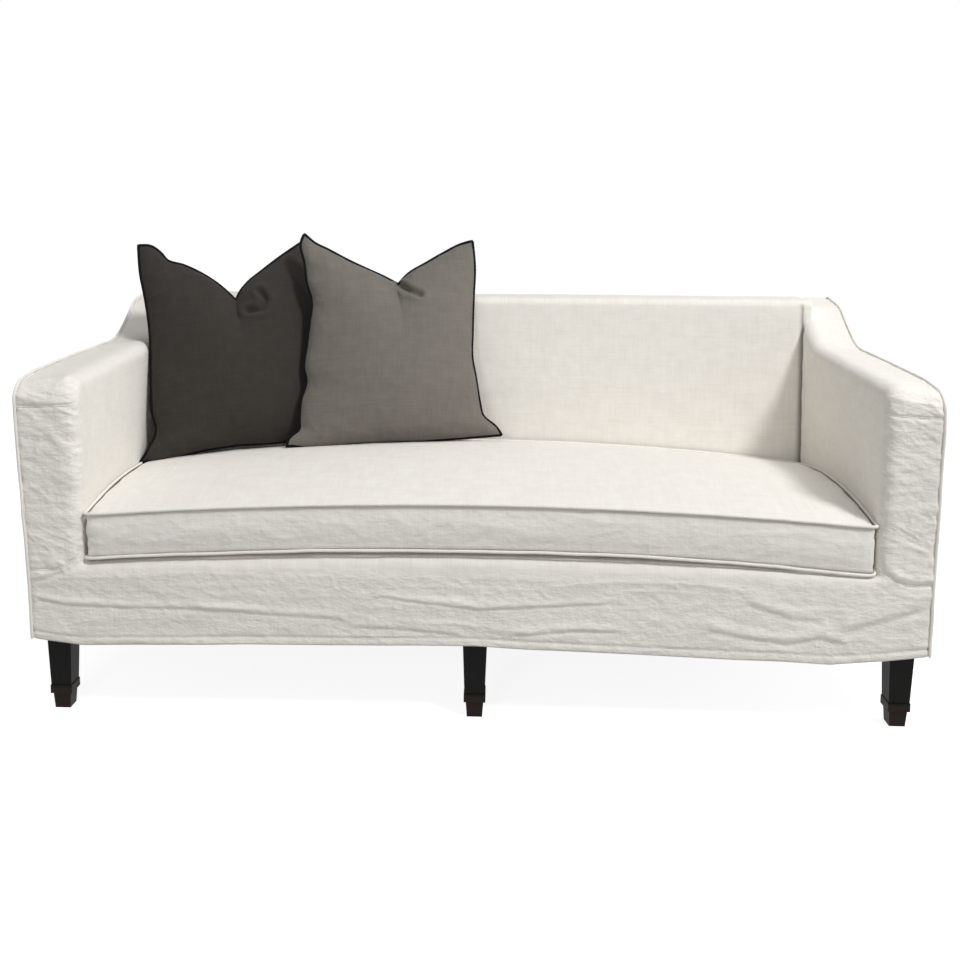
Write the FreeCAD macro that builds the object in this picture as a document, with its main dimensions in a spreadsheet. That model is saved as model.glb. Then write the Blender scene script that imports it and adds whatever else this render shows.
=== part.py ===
import FreeCAD, Part
import Sketcher
import math
import os
import re
from types import SimpleNamespace

from FreeCAD import Placement, Rotation, Vector

# Slipcovered three-seat sofa with scooped arms, one loose seat cushion and two scatter pillows.
# Frame of the model: X runs along the width, -Y is the front, Z is up, the floor is Z = 0,
# and the origin lies on the floor at the middle of the width and depth.

# Driving sizes in millimetres.
SIZES = {
    # outside of the slipcover
    "overall_width": 1940,
    "overall_depth": 860,
    "back_height": 885,
    "hem_height": 171,
    "cloth_thickness": 2,
    "rear_top_round": 20,
    # arms: depths run from the front face, heights from the floor
    "arm_width": 114,
    "arm_front_height": 752,
    "arm_front_round": 45,
    "arm_edge_round": 28,
    "wing_foot_depth": 570,
    "wing_foot_height": 775,
    "wing_foot_round": 170,
    "wing_shoulder_depth": 725,
    "wing_shoulder_height": 864,
    "wing_shoulder_round": 110,
    "arm_seam_height": 688,
    "apron_seam_height": 329,
    "piping_radius": 3.5,
    "piping_stand_off": 2.7,
    # back rest
    "seat_opening_depth": 634,
    "back_recline": 42,
    "back_front_round": 22,
    # deck under the cushion
    "deck_side_height": 340,
    "deck_crown": 31,
    "deck_edge_round": 18,
    # wooden frame
    "rail_thickness": 25,
    "rail_height": 100,
    "center_rail_height": 60,
    "deck_rail_depth": 700,
    "deck_rail_width": 40,
    "corner_block_side": 90,
    "corner_block_height": 40,
    "arm_post_depth": 60,
    "arm_rail_thickness": 30,
    "back_post_depth": 95,
    "top_rail_thickness": 32,
    "upright_thickness": 30,
    "upright_spacing": 580,
    "liner_thickness": 5,
    # padding
    "arm_inner_pad": 16,
    "frame_wrap": 14,
    "back_pad_thickness": 56,
    "edge_roll_depth": 55,
    # suspension
    "spring_wire": 4,
    "spring_width": 50,
    "spring_pitch": 56,
    "spring_spacing": 185,
    "spring_rise": 20,
    "spring_seat_inset": 10,
    "clip_width": 30,
    "clip_depth": 14,
    "clip_wall": 1.2,
    "clip_play": 0.5,
    "burlap_thickness": 1.5,
    "webbing_thickness": 2,
    "webbing_width": 70,
    "webbing_spacing": 138,
    "dust_cover_thickness": 1.5,
    "dust_cover_margin": 12,
    "dust_cover_leg_gap": 3,
    # legs
    "leg_height": 186,
    "leg_top_width": 54,
    "leg_ankle_width": 45,
    "cuff_width": 48,
    "cuff_height": 19,
    "foot_height": 36,
    "foot_top_width": 39,
    "foot_bottom_width": 34,
    "leg_side_inset": 47,
    "leg_front_inset": 52,
    "bolt_diameter": 8,
    "bolt_in_leg": 34,
    "bolt_in_frame": 34,
    "bolt_clearance": 0.1,
    # seat cushion
    "rest_gap": 0.3,
    "cushion_front_set": 9,
    "cushion_rear_gap": 8,
    "cushion_low_seam_side": 354,
    "cushion_low_seam_middle": 387,
    "cushion_top_seam_side": 452,
    "cushion_top_seam_middle": 489,
    "cushion_crown_side": 30,
    "cushion_crown_middle": 34,
    "cushion_rear_rise": 14,
    "cushion_under_run": 70,
    "cushion_under_fall": 3,
    "cushion_boxing_bulge": 6,
    "cushion_corner_draw": 14,
    "cushion_side_draw": 3,
    "cushion_cover_thickness": 3,
    "welt_radius": 3.5,
    "welt_stand_off": 4.6,
    "zip_length": 1300,
    "zip_tape_height": 26,
    "zip_tape_thickness": 1.2,
    "slider_length": 16,
    "slider_height": 10,
    "slider_thickness": 3,
    # scatter pillows
    "pillow_width": 555,
    "pillow_height": 554,
    "pillow_ear_draw": 45,
    "pillow_far_ear_draw": 64,
    "pillow_far_ear_drop": 12,
    "pillow_side_draw": 34,
    "pillow_notch_round": 18,
    "pillow_foot_bow": 10,
    "pillow_front_bulge": 88,
    "pillow_rear_bulge": 34,
    "pillow_seam_thickness": 5,
    "pillow_cover_thickness": 2.5,
    "edging_width": 6,
    "dark_pillow_notch_depth": 180,
    "dark_pillow_from_arm": 274,
    "dark_pillow_set": 136,
    "grey_pillow_notch_depth": 152,
    "pillow_spacing": 368,
    "grey_pillow_set": 130,
    "cut_overrun": 10,
}

# Angles in degrees, and shares, which stay as they are when the sofa is scaled.
PILLOW_LEAN_ANGLE = 17.0
DARK_PILLOW_TURN_ANGLE = 18.0
DARK_PILLOW_TILT_ANGLE = -5.0
GREY_PILLOW_TURN_ANGLE = 13.0
GREY_PILLOW_TILT_ANGLE = 0.5
CUSHION_STATION_SHARES = (-1.0, -0.75, -0.5, -0.25, 0.0, 0.25, 0.5, 0.75, 1.0)
WELT_POINT_SHARES = (0.35, 0.7)
WELT_SIDE_SHARES = (-0.5, 0.0, 0.5)
PILLOW_HEIGHT_SHARES = (0.0, 0.07, 0.18, 0.34, 0.52, 0.7, 0.85, 1.0)
PILLOW_BULGE_SHARES = (0.16, 0.44, 0.76, 1.0, 0.97, 0.78, 0.46, 0.06)
ARC_RUN_SHARE = 0.45
HALF_SHARE = 0.5
CORD_SIDES = 8
PAD_SIDES = 8
CORNER_SHOULDER_SHARE = 0.25

# Places worked out from the sizes.
PLACES = {
    "half_width": "overall_width / 2",
    "inner_half": "half_width - arm_width",
    "front_face": "-overall_depth / 2",
    "rear_face": "overall_depth / 2",
    "cover_side": "half_width - cloth_thickness",
    "cover_front": "front_face + cloth_thickness",
    "cover_rear": "rear_face - cloth_thickness",
    "pad_side": "inner_half + cloth_thickness",
    "seat_reach": "inner_half + arm_edge_round",
    "back_foot": "front_face + seat_opening_depth",
    "rail_top": "leg_height + rail_height",
    "front_rail_rear": "cover_front + rail_thickness",
    "back_rail_front": "cover_rear - rail_thickness",
    "side_rail_inner": "cover_side - rail_thickness",
    "core_inset": "cloth_thickness + frame_wrap",
    "core_front": "front_face + core_inset",
    "core_rear": "rear_face - core_inset",
    "core_top": "back_height - core_inset",
    "arm_core_inner": "inner_half + cloth_thickness + arm_inner_pad",
    "post_inner": "arm_core_inner + liner_thickness",
    "post_outer": "cover_side - liner_thickness",
    "arm_post_rear": "core_front + arm_post_depth",
    "back_post_front": "core_rear - back_post_depth",
    "back_core_foot": "back_foot + cloth_thickness + back_pad_thickness",
    "back_core_head": "back_core_foot + back_recline",
    "top_rail_bottom": "core_top - top_rail_thickness",
    "deck_rail_front": "front_face + deck_rail_depth",
    "deck_rail_rear": "deck_rail_front + deck_rail_width",
    "deck_rail_bottom": "leg_height + center_rail_height",
    "spring_front": "cover_front + spring_seat_inset",
    "spring_rear": "deck_rail_rear - spring_seat_inset",
    "leg_x": "half_width - leg_side_inset",
    "leg_y": "front_face + leg_front_inset",
    "ankle_height": "foot_height + cuff_height",
    "cushion_half": "inner_half - rest_gap - welt_stand_off - welt_radius",
    "cushion_front": "front_face + cushion_front_set",
    "cushion_rear": "back_foot - cushion_rear_gap",
    "zip_face": "cushion_rear + zip_tape_thickness",
    "zip_height": "(cushion_low_seam_middle + cushion_top_seam_side) / 2",
    "dark_pillow_side": "inner_half - dark_pillow_from_arm",
    "grey_pillow_side": "dark_pillow_side - pillow_spacing",
}

DOC = FreeCAD.newDocument("sofa")
NODES = []


def bound(formula):
    """Return the formula with each named size or place read from its sheet."""

    def cell(word):
        name = word.group()
        if name in SIZES:
            return "Sizes." + name
        return "Places." + name

    return re.sub(r"[a-z][a-z_]+", cell, formula)


def fill_sheets():
    """Write the driving sizes and the places that follow from them into two sheets."""
    sizes = DOC.addObject("Spreadsheet::Sheet", "Sizes")
    for row, (name, value) in enumerate(SIZES.items(), start=1):
        sizes.set(f"A{row}", name)
        sizes.set(f"B{row}", str(value))
        sizes.setAlias(f"B{row}", name)
    DOC.recompute()
    places = DOC.addObject("Spreadsheet::Sheet", "Places")
    for row, (name, formula) in enumerate(PLACES.items(), start=1):
        places.set(f"A{row}", name)
        places.set(f"B{row}", "=" + bound(formula))
        places.setAlias(f"B{row}", name)
        DOC.recompute()
    read = {name: float(sizes.get(name)) for name in SIZES}
    read.update({name: float(places.get(name)) for name in PLACES})
    return SimpleNamespace(**read)


S = fill_sheets()


def keep(piece, label):
    """Name a piece and list it as a node."""
    piece.Label = label
    NODES.append(piece)
    return piece


def feature(label, shape):
    """Add a shaped piece that reads its sizes from the sheets."""
    piece = DOC.addObject("Part::Feature", label)
    piece.Shape = shape
    return keep(piece, label)


def box(label, x, y, z):
    """Add a board between two formulas along each axis."""
    board = DOC.addObject("Part::Box", label)
    for side, axis, (low, high) in (("Length", "x", x), ("Width", "y", y), ("Height", "z", z)):
        board.setExpression(side, bound(f"({high}) - ({low})"))
        board.setExpression("Placement.Base." + axis, bound(low))
    return board


def box_pair(label, x, y, z):
    """Add the same board at the left and right of the sofa."""
    keep(box(label + "_right", x, y, z), label + "_right")
    keep(box(label + "_left", (f"-({x[1]})", f"-({x[0]})"), y, z), label + "_left")


def block(x, y, z):
    """Return a plain box solid between two values along each axis."""
    return Part.makeBox(x[1] - x[0], y[1] - y[0], z[1] - z[0], Vector(x[0], y[0], z[0]))


def left_of(shape):
    """Return the mirror image on the other side of the sofa."""
    return shape.mirror(Vector(0, 0, 0), Vector(1, 0, 0))


def feature_pair(label, shape):
    """Add a piece at the right and its mirror image at the left."""
    feature(label + "_right", shape)
    feature(label + "_left", left_of(shape))


def pad_body(label, plane, corners, low, high):
    """Add a body whose straight-sided sketch, bound to the sizes, is padded from low to high."""
    body = DOC.addObject("PartDesign::Body", label)
    sketch = body.newObject("Sketcher::SketchObject", label + "_sketch")
    origin_plane = [part for part in body.Origin.OriginFeatures if part.Role == plane][0]
    sketch.AttachmentSupport = (origin_plane, [""])
    sketch.MapMode = "FlatFace"
    count = len(corners)
    for index in range(count):
        angle = 2 * math.pi * index / count
        after = 2 * math.pi * (index + 1) / count
        start = Vector(math.cos(angle), math.sin(angle), 0)
        end = Vector(math.cos(after), math.sin(after), 0)
        sketch.addGeometry(Part.LineSegment(start * S.rail_height, end * S.rail_height), False)
    for index, (across, up) in enumerate(corners):
        sketch.addConstraint(Sketcher.Constraint("Coincident", index, 2, (index + 1) % count, 1))
        for kind, formula in (("DistanceX", across), ("DistanceY", up)):
            place = sketch.addConstraint(Sketcher.Constraint(kind, -1, 1, index, 1, S.rail_height))
            sketch.setExpression(f"Constraints[{place}]", bound(formula))
    pad = body.newObject("PartDesign::Pad", label + "_pad")
    pad.Profile = sketch
    pad.setExpression("Length", bound(f"({high}) - ({low})"))
    axis = {"XY_Plane": "z", "YZ_Plane": "x"}[plane]
    body.setExpression("Placement.Base." + axis, bound(low))
    return body


def corner_arc(point, before, after, radius):
    """Return the first end, the last end and the arc that rounds a corner between two neighbours."""
    incoming = before - point
    outgoing = after - point
    incoming.normalize()
    outgoing.normalize()
    half_angle = incoming.getAngle(outgoing) / 2
    reach = radius / math.tan(half_angle)
    first = point + incoming * reach
    last = point + outgoing * reach
    toward = incoming + outgoing
    toward.normalize()
    middle = point + toward * (radius / math.sin(half_angle) - radius)
    return first, last, Part.Arc(first, middle, last).toShape()


def rounded_wire(corners):
    """Return a closed wire through 3-D corners (point, radius), each corner rounded by an arc."""
    edges = []
    ends = []
    count = len(corners)
    for index, (point, radius) in enumerate(corners):
        if radius:
            before = corners[index - 1][0]
            after = corners[(index + 1) % count][0]
            ends.append(corner_arc(point, before, after, radius))
        else:
            ends.append((point, point, None))
    for index, (first, last, arc) in enumerate(ends):
        if arc:
            edges.append(arc)
        edges.append(Part.makeLine(last, ends[(index + 1) % count][0]))
    return Part.Wire(edges)


def side_wire(corners):
    """Return a closed wire in the YZ plane from (y, z, radius) corners."""
    return rounded_wire([(Vector(0, y, z), radius) for y, z, radius in corners])


def prism(wire, low, high):
    """Extrude a YZ wire along X from low to high."""
    face = Part.Face(wire)
    face.translate(Vector(low, 0, 0))
    return face.extrude(Vector(high - low, 0, 0))


def tube(path, radius):
    """Sweep a thin cord along a smooth path, its round section drawn with a few flat sides."""
    start = path.Edges[0]
    first = start.valueAt(start.FirstParameter)
    along = start.tangentAt(start.FirstParameter)
    across = along.cross(Vector(0, 0, 1))
    if across.Length < HALF_SHARE:
        across = along.cross(Vector(0, 1, 0))
    across.normalize()
    up = along.cross(across)
    points = []
    for index in range(CORD_SIDES):
        angle = 2 * math.pi * index / CORD_SIDES
        points.append(first + across * (radius * math.cos(angle)) + up * (radius * math.sin(angle)))
    section = Part.makePolygon(points + [points[0]])
    return Part.Wire(path).makePipeShell([section], True, False)


def arm_outline(inset, bottom):
    """Return the scooped side outline of an arm, inset from the slipcover, down to a height."""
    corners = [
        (S.front_face, bottom - inset, 0),
        (S.front_face, S.arm_front_height, S.arm_front_round),
        (S.front_face + S.wing_foot_depth, S.wing_foot_height, S.wing_foot_round),
        (S.front_face + S.wing_shoulder_depth, S.wing_shoulder_height, S.wing_shoulder_round),
        (S.rear_face, S.back_height, S.rear_top_round),
        (S.rear_face, bottom - inset, 0),
    ]
    wire = side_wire(corners)
    return wire.makeOffset2D(-inset) if inset else wire


def arm_form(inset, bottom):
    """Return the right arm's soft outside, its inner long edge rounded."""
    low = S.inner_half + inset
    arm = prism(arm_outline(inset, bottom), low, S.half_width - inset)
    edges = []
    for edge in arm.Edges:
        box_of = edge.BoundBox
        on_inner = abs(box_of.XMax - low) < S.cloth_thickness / 2
        upper = box_of.ZMax > bottom + S.cloth_thickness
        at_rear = box_of.YMin > S.rear_face - inset - S.cloth_thickness / 2
        if on_inner and upper and not at_rear:
            edges.append(edge)
    return arm.makeFillet(S.arm_edge_round - inset, edges)


def back_form(inset, bottom):
    """Return the soft outside of the back rest between the arms."""
    foot = S.back_foot
    slope = back_slope()
    corners = [
        (foot - slope * (S.deck_side_height - bottom + inset), bottom - inset, 0),
        (foot + S.back_recline, S.back_height, S.back_front_round),
        (S.rear_face, S.back_height, S.rear_top_round),
        (S.rear_face, bottom - inset, 0),
    ]
    wire = side_wire(corners)
    wire = wire.makeOffset2D(-inset) if inset else wire
    return prism(wire, -S.seat_reach, S.seat_reach)


def crown_slab(inset, bottom, low, high):
    """Return the seat deck's solid with a crowned top, between two depths."""
    side = S.deck_side_height - inset
    left = Vector(-S.seat_reach, low, side)
    middle = Vector(0, low, side + S.deck_crown)
    right = Vector(S.seat_reach, low, side)
    feet = (Vector(S.seat_reach, low, bottom), Vector(-S.seat_reach, low, bottom))
    edges = [
        Part.Arc(left, middle, right).toShape(),
        Part.makeLine(right, feet[0]),
        Part.makeLine(feet[0], feet[1]),
        Part.makeLine(feet[1], left),
    ]
    return Part.Face(Part.Wire(edges)).extrude(Vector(0, high - low, 0))


def seat_form(inset, bottom):
    """Return the soft outside of the seat deck with its rounded front edge."""
    slab = crown_slab(inset, bottom, S.front_face + inset, S.back_foot + S.cut_overrun)
    front = [
        edge
        for edge in slab.Edges
        if edge.BoundBox.ZMax > S.deck_side_height and edge.BoundBox.YMax < S.front_face + S.cut_overrun
    ]
    return slab.makeFillet(S.deck_edge_round - inset, front)


def sofa_form(inset, bottom):
    """Return the whole soft outside of the sofa without its loose cushion."""
    arm = arm_form(inset, bottom)
    return arm.multiFuse([left_of(arm), back_form(inset, bottom), seat_form(inset, bottom)])


def make_cover(form, lining):
    """Cut the slipcover's shell along its seams into the sewn panels."""
    shell = form.cut(lining)
    high = (S.hem_height - S.cut_overrun, S.back_height + S.cut_overrun)
    deep = (S.front_face - S.cut_overrun, S.rear_face + S.cut_overrun)
    front_turn = (deep[0], S.front_face + S.arm_edge_round)
    lip = S.front_face + S.deck_edge_round
    lower = (high[0], S.apron_seam_height)
    between_arms = (-S.inner_half, S.inner_half)
    between_sides = (-S.cover_side, S.cover_side)
    right_arm = (S.inner_half, S.cover_side)
    outside = block((S.cover_side, S.half_width + S.cut_overrun), deep, high)
    feature_pair("cover_arm_outside", shell.common(outside))
    rear_panel = block(between_sides, (S.cover_rear, deep[1]), high)
    feature("cover_back_outside", shell.common(rear_panel))
    arm_front = block(right_arm, front_turn, (S.apron_seam_height, S.arm_seam_height))
    feature_pair("cover_arm_front", shell.common(arm_front))
    skirt = block(between_sides, front_turn, lower)
    center_front = block(between_arms, (deep[0], lip), (S.apron_seam_height, high[1]))
    feature("cover_apron", shell.common(skirt.fuse(center_front)))
    arm = block(right_arm, (deep[0], S.cover_rear), high)
    feature_pair("cover_arm_inside", shell.common(arm.cut(arm_front.fuse(skirt))))
    deck = block(between_arms, (lip, S.back_foot), high)
    feature("cover_deck", shell.common(deck.cut(skirt)))
    back = block(between_arms, (S.back_foot, S.cover_rear), high)
    feature("cover_back_inside", shell.common(back))


def make_piping():
    """Run the sewn cord up each arm front, over the scoop and down the rear corner."""
    out = S.piping_stand_off
    wire = arm_outline(0, S.hem_height).makeOffset2D(out)
    edges = []
    for edge in wire.Edges:
        if edge.BoundBox.ZMax > S.hem_height:
            edges.append(edge)
    path = Part.Wire(Part.__sortEdges__(edges))
    side = S.half_width + out
    path.translate(Vector(side, 0, 0))
    cord = tube(path, S.piping_radius)
    above_hem = block(
        (S.half_width - S.cut_overrun, side + S.cut_overrun),
        (S.front_face - S.cut_overrun, S.rear_face + S.cut_overrun),
        (S.hem_height, S.back_height + S.cut_overrun),
    )
    feature_pair("arm_piping", cord.common(above_hem))


def back_slope():
    """Return how far the back leans to the rear for each millimetre of height."""
    return S.back_recline / (S.back_height - S.deck_side_height)


def core_outline_back(margin):
    """Return the back frame's side outline, its raked front moved forward by a margin."""
    slope = back_slope()
    foot = S.back_core_foot - margin
    corners = [
        (foot - slope * (S.deck_side_height - S.rail_top), S.rail_top, 0),
        (foot + slope * (S.core_top - S.deck_side_height), S.core_top, 0),
        (S.core_rear, S.core_top, 0),
        (S.core_rear, S.rail_top, 0),
    ]
    return side_wire(corners)


def arm_core():
    """Return the space of the right arm's wooden frame."""
    outline = arm_outline(S.core_inset, S.rail_top)
    return prism(outline, S.arm_core_inner, S.cover_side)


def make_padding(lining):
    """Fill the space between the slipcover and the frame with the sewn-on padding."""
    far = S.half_width
    front = S.front_face
    rear = S.rear_face
    top = S.back_height
    back_core = prism(core_outline_back(S.webbing_thickness), -S.post_inner, S.post_inner)
    frame = arm_core().fuse(back_core)
    arm_region = block((S.pad_side, far), (front, rear), (S.rail_top, top))
    feature_pair("arm_pad", lining.common(arm_region).cut(frame))
    under = spring_space(far)
    seat_rear = S.back_foot + S.cloth_thickness
    roll_rear = S.cover_front + S.edge_roll_depth
    roll = block((-S.pad_side, S.pad_side), (front, roll_rear), (S.rail_top, top))
    feature("front_edge_roll", lining.common(roll).cut(under))
    deck = block((-S.pad_side, S.pad_side), (roll_rear, seat_rear), (S.rail_top, top))
    feature("deck_pad", lining.common(deck).cut(under))
    back = block((-S.pad_side, S.pad_side), (seat_rear, rear), (S.rail_top, top))
    feature("back_pad", lining.common(back).cut(back_core).cut(under))


def spring_band(low, high):
    """Return the arched side outline between two heights above the springs' underside."""
    front = S.cover_front
    rear = S.deck_rail_rear
    middle = (S.spring_front + S.spring_rear) / 2
    reach = (S.spring_rear - S.spring_front) / 2
    radius = (reach * reach + S.spring_rise * S.spring_rise) / (2 * S.spring_rise)
    center = S.rail_top + S.spring_rise - radius

    def arch(lift):
        size = radius + lift
        ends = [center + math.sqrt(size * size - (depth - middle) ** 2) for depth in (front, rear)]
        first = Vector(0, front, ends[0])
        last = Vector(0, rear, ends[1])
        return first, last, Part.Arc(first, Vector(0, middle, center + size), last).toShape()

    upper = arch(max(low, high))
    if min(low, high) < 0:
        base = S.rail_top + min(low, high)
        feet = (Vector(0, front, base), Vector(0, rear, base))
        lower = (feet[0], feet[1], Part.makeLine(feet[0], feet[1]))
    else:
        lower = arch(min(low, high))
    edges = [upper[2], Part.makeLine(upper[1], lower[1]), lower[2], Part.makeLine(lower[0], upper[0])]
    return Part.Wire(Part.__sortEdges__(edges))


def spring_space(far):
    """Return the space that the springs and their burlap take, out to a half width."""
    return prism(spring_band(S.spring_wire + S.burlap_thickness, -S.rail_height), -far, far)


def spring_plan():
    """Return the flat plan of one zigzag spring as a face."""
    length = S.spring_rear - S.spring_front - S.spring_wire
    bars = max(2, round(length / S.spring_pitch))
    pitch = length / bars
    side = S.spring_width / 2
    points = []
    for index in range(bars + 1):
        depth = S.spring_front + S.spring_wire / 2 + pitch * index
        turn = side if index % 2 else -side
        points.append(Vector(turn, depth, 0))
        points.append(Vector(-turn, depth, 0))
    half_wire = S.spring_wire / 2
    outline = []
    for sign in (1, -1):
        strip = []
        for index, point in enumerate(points):
            normals = []
            for first, last in ((index - 1, index), (index, index + 1)):
                if first >= 0 and last < len(points):
                    run = points[last] - points[first]
                    run.normalize()
                    normals.append(Vector(-run.y, run.x, 0))
            shift = Vector(0, 0, 0)
            for normal in normals:
                shift = shift + normal
            strip.append(point + shift * (half_wire * sign))
        outline.extend(strip if sign > 0 else reversed(strip))
    return Part.Face(Part.makePolygon(outline + [outline[0]]))


def spring_places():
    """Return the X place of each spring."""
    count = int((S.inner_half - S.spring_width) / S.spring_spacing)
    return [S.spring_spacing * index for index in range(-count, count + 1)]


def clip_at(place, deep, channel_deep):
    """Return the block that a spring clip takes on its rail, and the clip itself."""
    half = S.clip_width / 2
    top = S.rail_top + S.spring_wire + S.clip_wall
    whole = block((place - half, place + half), deep, (S.rail_top, top))
    wide = (place - half - S.cut_overrun, place + half + S.cut_overrun)
    high = (S.rail_top - S.cut_overrun, S.rail_top + S.spring_wire + S.clip_play)
    return whole, whole.cut(block(wide, channel_deep, high))


def make_suspension():
    """Lay the zigzag springs from rail to rail, with their clips and the burlap over them."""
    plan = spring_plan()
    plan.translate(Vector(0, 0, S.rail_top - S.cut_overrun))
    height = S.spring_rise + S.spring_wire + 2 * S.cut_overrun
    band = prism(spring_band(0, S.spring_wire), -S.spring_width, S.spring_width)
    spring = plan.extrude(Vector(0, 0, height)).common(band)
    front = S.spring_front - S.clip_wall
    rear = S.spring_rear + S.clip_wall
    front_deep = (front, front + S.clip_depth)
    rear_deep = (rear - S.clip_depth, rear)
    front_channel = (S.spring_front, front + S.clip_depth + S.cut_overrun)
    rear_channel = (rear - S.clip_depth - S.cut_overrun, S.spring_rear)
    springs = []
    clips = []
    clip_blocks = []
    for place in spring_places():
        springs.append(spring.translated(Vector(place, 0, 0)))
        for deep, channel in ((front_deep, front_channel), (rear_deep, rear_channel)):
            whole, clip = clip_at(place, deep, channel)
            clip_blocks.append(whole)
            clips.append(clip)
    feature("seat_springs", Part.makeCompound(springs))
    feature("spring_clips", Part.makeCompound(clips))
    sheet_outline = spring_band(S.spring_wire, S.spring_wire + S.burlap_thickness)
    sheet = prism(sheet_outline, -S.pad_side, S.pad_side)
    feature("deck_burlap", sheet.cut(Part.makeCompound(clip_blocks)))


def make_rails():
    """Build the seat frame: four outer rails, the deck rail, the center rail and corner blocks."""
    wide = ("-cover_side", "cover_side")
    high = ("leg_height", "rail_top")
    inside = ("front_rail_rear", "back_rail_front")
    keep(box("front_rail", wide, ("cover_front", "front_rail_rear"), high), "front_rail")
    keep(box("back_rail", wide, ("back_rail_front", "cover_rear"), high), "back_rail")
    box_pair("side_rail", ("side_rail_inner", "cover_side"), inside, high)
    half = "rail_thickness / 2"
    center = box("center_board", ("-" + half, half), inside, ("leg_height", "deck_rail_bottom"))
    for depth in ("leg_y", "-leg_y"):
        center = bored(center, "0", depth)
    keep(center, "center_rail")
    deck_wide = ("-side_rail_inner", "side_rail_inner")
    deck_deep = ("deck_rail_front", "deck_rail_rear")
    keep(box("deck_rail", deck_wide, deck_deep, ("deck_rail_bottom", "rail_top")), "deck_rail")
    make_corner_blocks()


def bore(label, x, y, low, high):
    """Return a clearance cylinder for a leg bolt at a place given by formulas."""
    hole = DOC.addObject("Part::Cylinder", label)
    hole.setExpression("Radius", bound("bolt_diameter / 2 + bolt_clearance"))
    hole.setExpression("Height", bound(f"({high}) - ({low})"))
    hole.setExpression("Placement.Base.x", bound(x) if x != "0" else x)
    hole.setExpression("Placement.Base.y", bound(y))
    hole.setExpression("Placement.Base.z", bound(low))
    return hole


def bored(base, x, y):
    """Cut the clearance hole of a leg bolt out of a piece."""
    low = "leg_height - bolt_in_leg - cut_overrun"
    high = "leg_height + bolt_in_frame + bolt_clearance"
    cut = DOC.addObject("Part::Cut", base.Name + "_bored")
    cut.Base = base
    cut.Tool = bore(base.Name + "_bore", x, y, low, high)
    return cut


def make_corner_blocks():
    """Build the four three-sided blocks that brace the rails and take the corner legs' bolts."""
    blocks = []
    for name, side, end in (("fr", "", ""), ("fl", "-", ""), ("br", "", "-"), ("bl", "-", "-")):
        x = side + "side_rail_inner"
        y = {"": "front_rail_rear", "-": "back_rail_front"}[end]
        x_far = f"{side}(side_rail_inner - corner_block_side)"
        y_far = {
            "": "front_rail_rear + corner_block_side",
            "-": "back_rail_front - corner_block_side",
        }[end]
        corners = [(x, y), (x_far, y), (x, y_far)]
        block_top = "leg_height + corner_block_height"
        body = pad_body("corner_block_" + name, "XY_Plane", corners, "leg_height", block_top)
        blocks.append(bored(body, side + "leg_x", end + "leg_y"))
    group = DOC.addObject("Part::Compound", "corner_blocks")
    group.Links = blocks
    keep(group, "corner_blocks")


def make_arm_frames():
    """Build each arm's front post, scooped top rail, back post and thin lining boards."""
    core = arm_core()
    outline = arm_outline(S.core_inset, S.rail_top)
    inner = outline.makeOffset2D(-S.arm_rail_thickness)
    band = prism(outline, S.post_inner, S.post_outer).cut(prism(inner, S.post_inner, S.post_outer))
    wide = (S.post_inner, S.post_outer)
    up = (S.rail_top, S.back_height)
    front_post = block(wide, (S.core_front, S.arm_post_rear), up)
    back_post = block(wide, (S.back_post_front, S.core_rear), up)
    scoop = block(wide, (S.arm_post_rear, S.back_post_front), (S.apron_seam_height, S.back_height))
    feature_pair("arm_post", core.common(front_post))
    feature_pair("back_post", core.common(back_post))
    feature_pair("arm_top_rail", band.common(scoop))
    inner_deep = (S.front_face, S.back_core_foot - S.back_recline)
    inner_board = block((S.arm_core_inner, S.post_inner), inner_deep, up)
    outer_board = block((S.post_outer, S.cover_side), (S.front_face, S.rear_face), up)
    boards = [core.common(inner_board), core.common(outer_board)]
    feature("arm_liners_right", Part.makeCompound(boards))
    feature("arm_liners_left", Part.makeCompound([left_of(board) for board in boards]))


def back_webs(under):
    """Return the webbing strips tacked up the front of the back frame, ending on the burlap."""
    slope = back_slope()
    foot = S.back_core_foot - slope * (S.deck_side_height - S.rail_top)
    head = S.back_core_foot + slope * (S.core_top - S.deck_side_height)
    corners = [
        (foot - S.webbing_thickness, S.rail_top, 0),
        (head - S.webbing_thickness, S.core_top, 0),
        (head, S.core_top, 0),
        (foot, S.rail_top, 0),
    ]
    outline = side_wire(corners)
    count = int(S.inner_half / S.webbing_spacing)
    webs = []
    for index in range(-count, count + 1):
        low = S.webbing_spacing * index - S.webbing_width / 2
        webs.append(prism(outline, low, low + S.webbing_width).cut(under))
    return webs


def make_back_frame():
    """Build the back's top rail, its two raked uprights and the webbing on their front."""
    core = prism(core_outline_back(0), -S.post_inner, S.post_inner)
    under = spring_space(S.half_width)
    far = S.post_inner + S.cut_overrun
    upper = block((-far, far), (S.front_face, S.rear_face), (S.top_rail_bottom, S.back_height))
    feature("back_top_rail", core.common(upper))
    feature("back_webbing", Part.makeCompound(back_webs(under)))
    half = S.upright_thickness / 2
    high = (S.rail_top, S.top_rail_bottom)
    uprights = []
    for place in (-S.upright_spacing / 2, S.upright_spacing / 2):
        slot = block((place - half, place + half), (S.front_face, S.rear_face), high)
        uprights.append(core.common(slot).cut(under))
    feature("back_uprights", Part.makeCompound(uprights))


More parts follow.
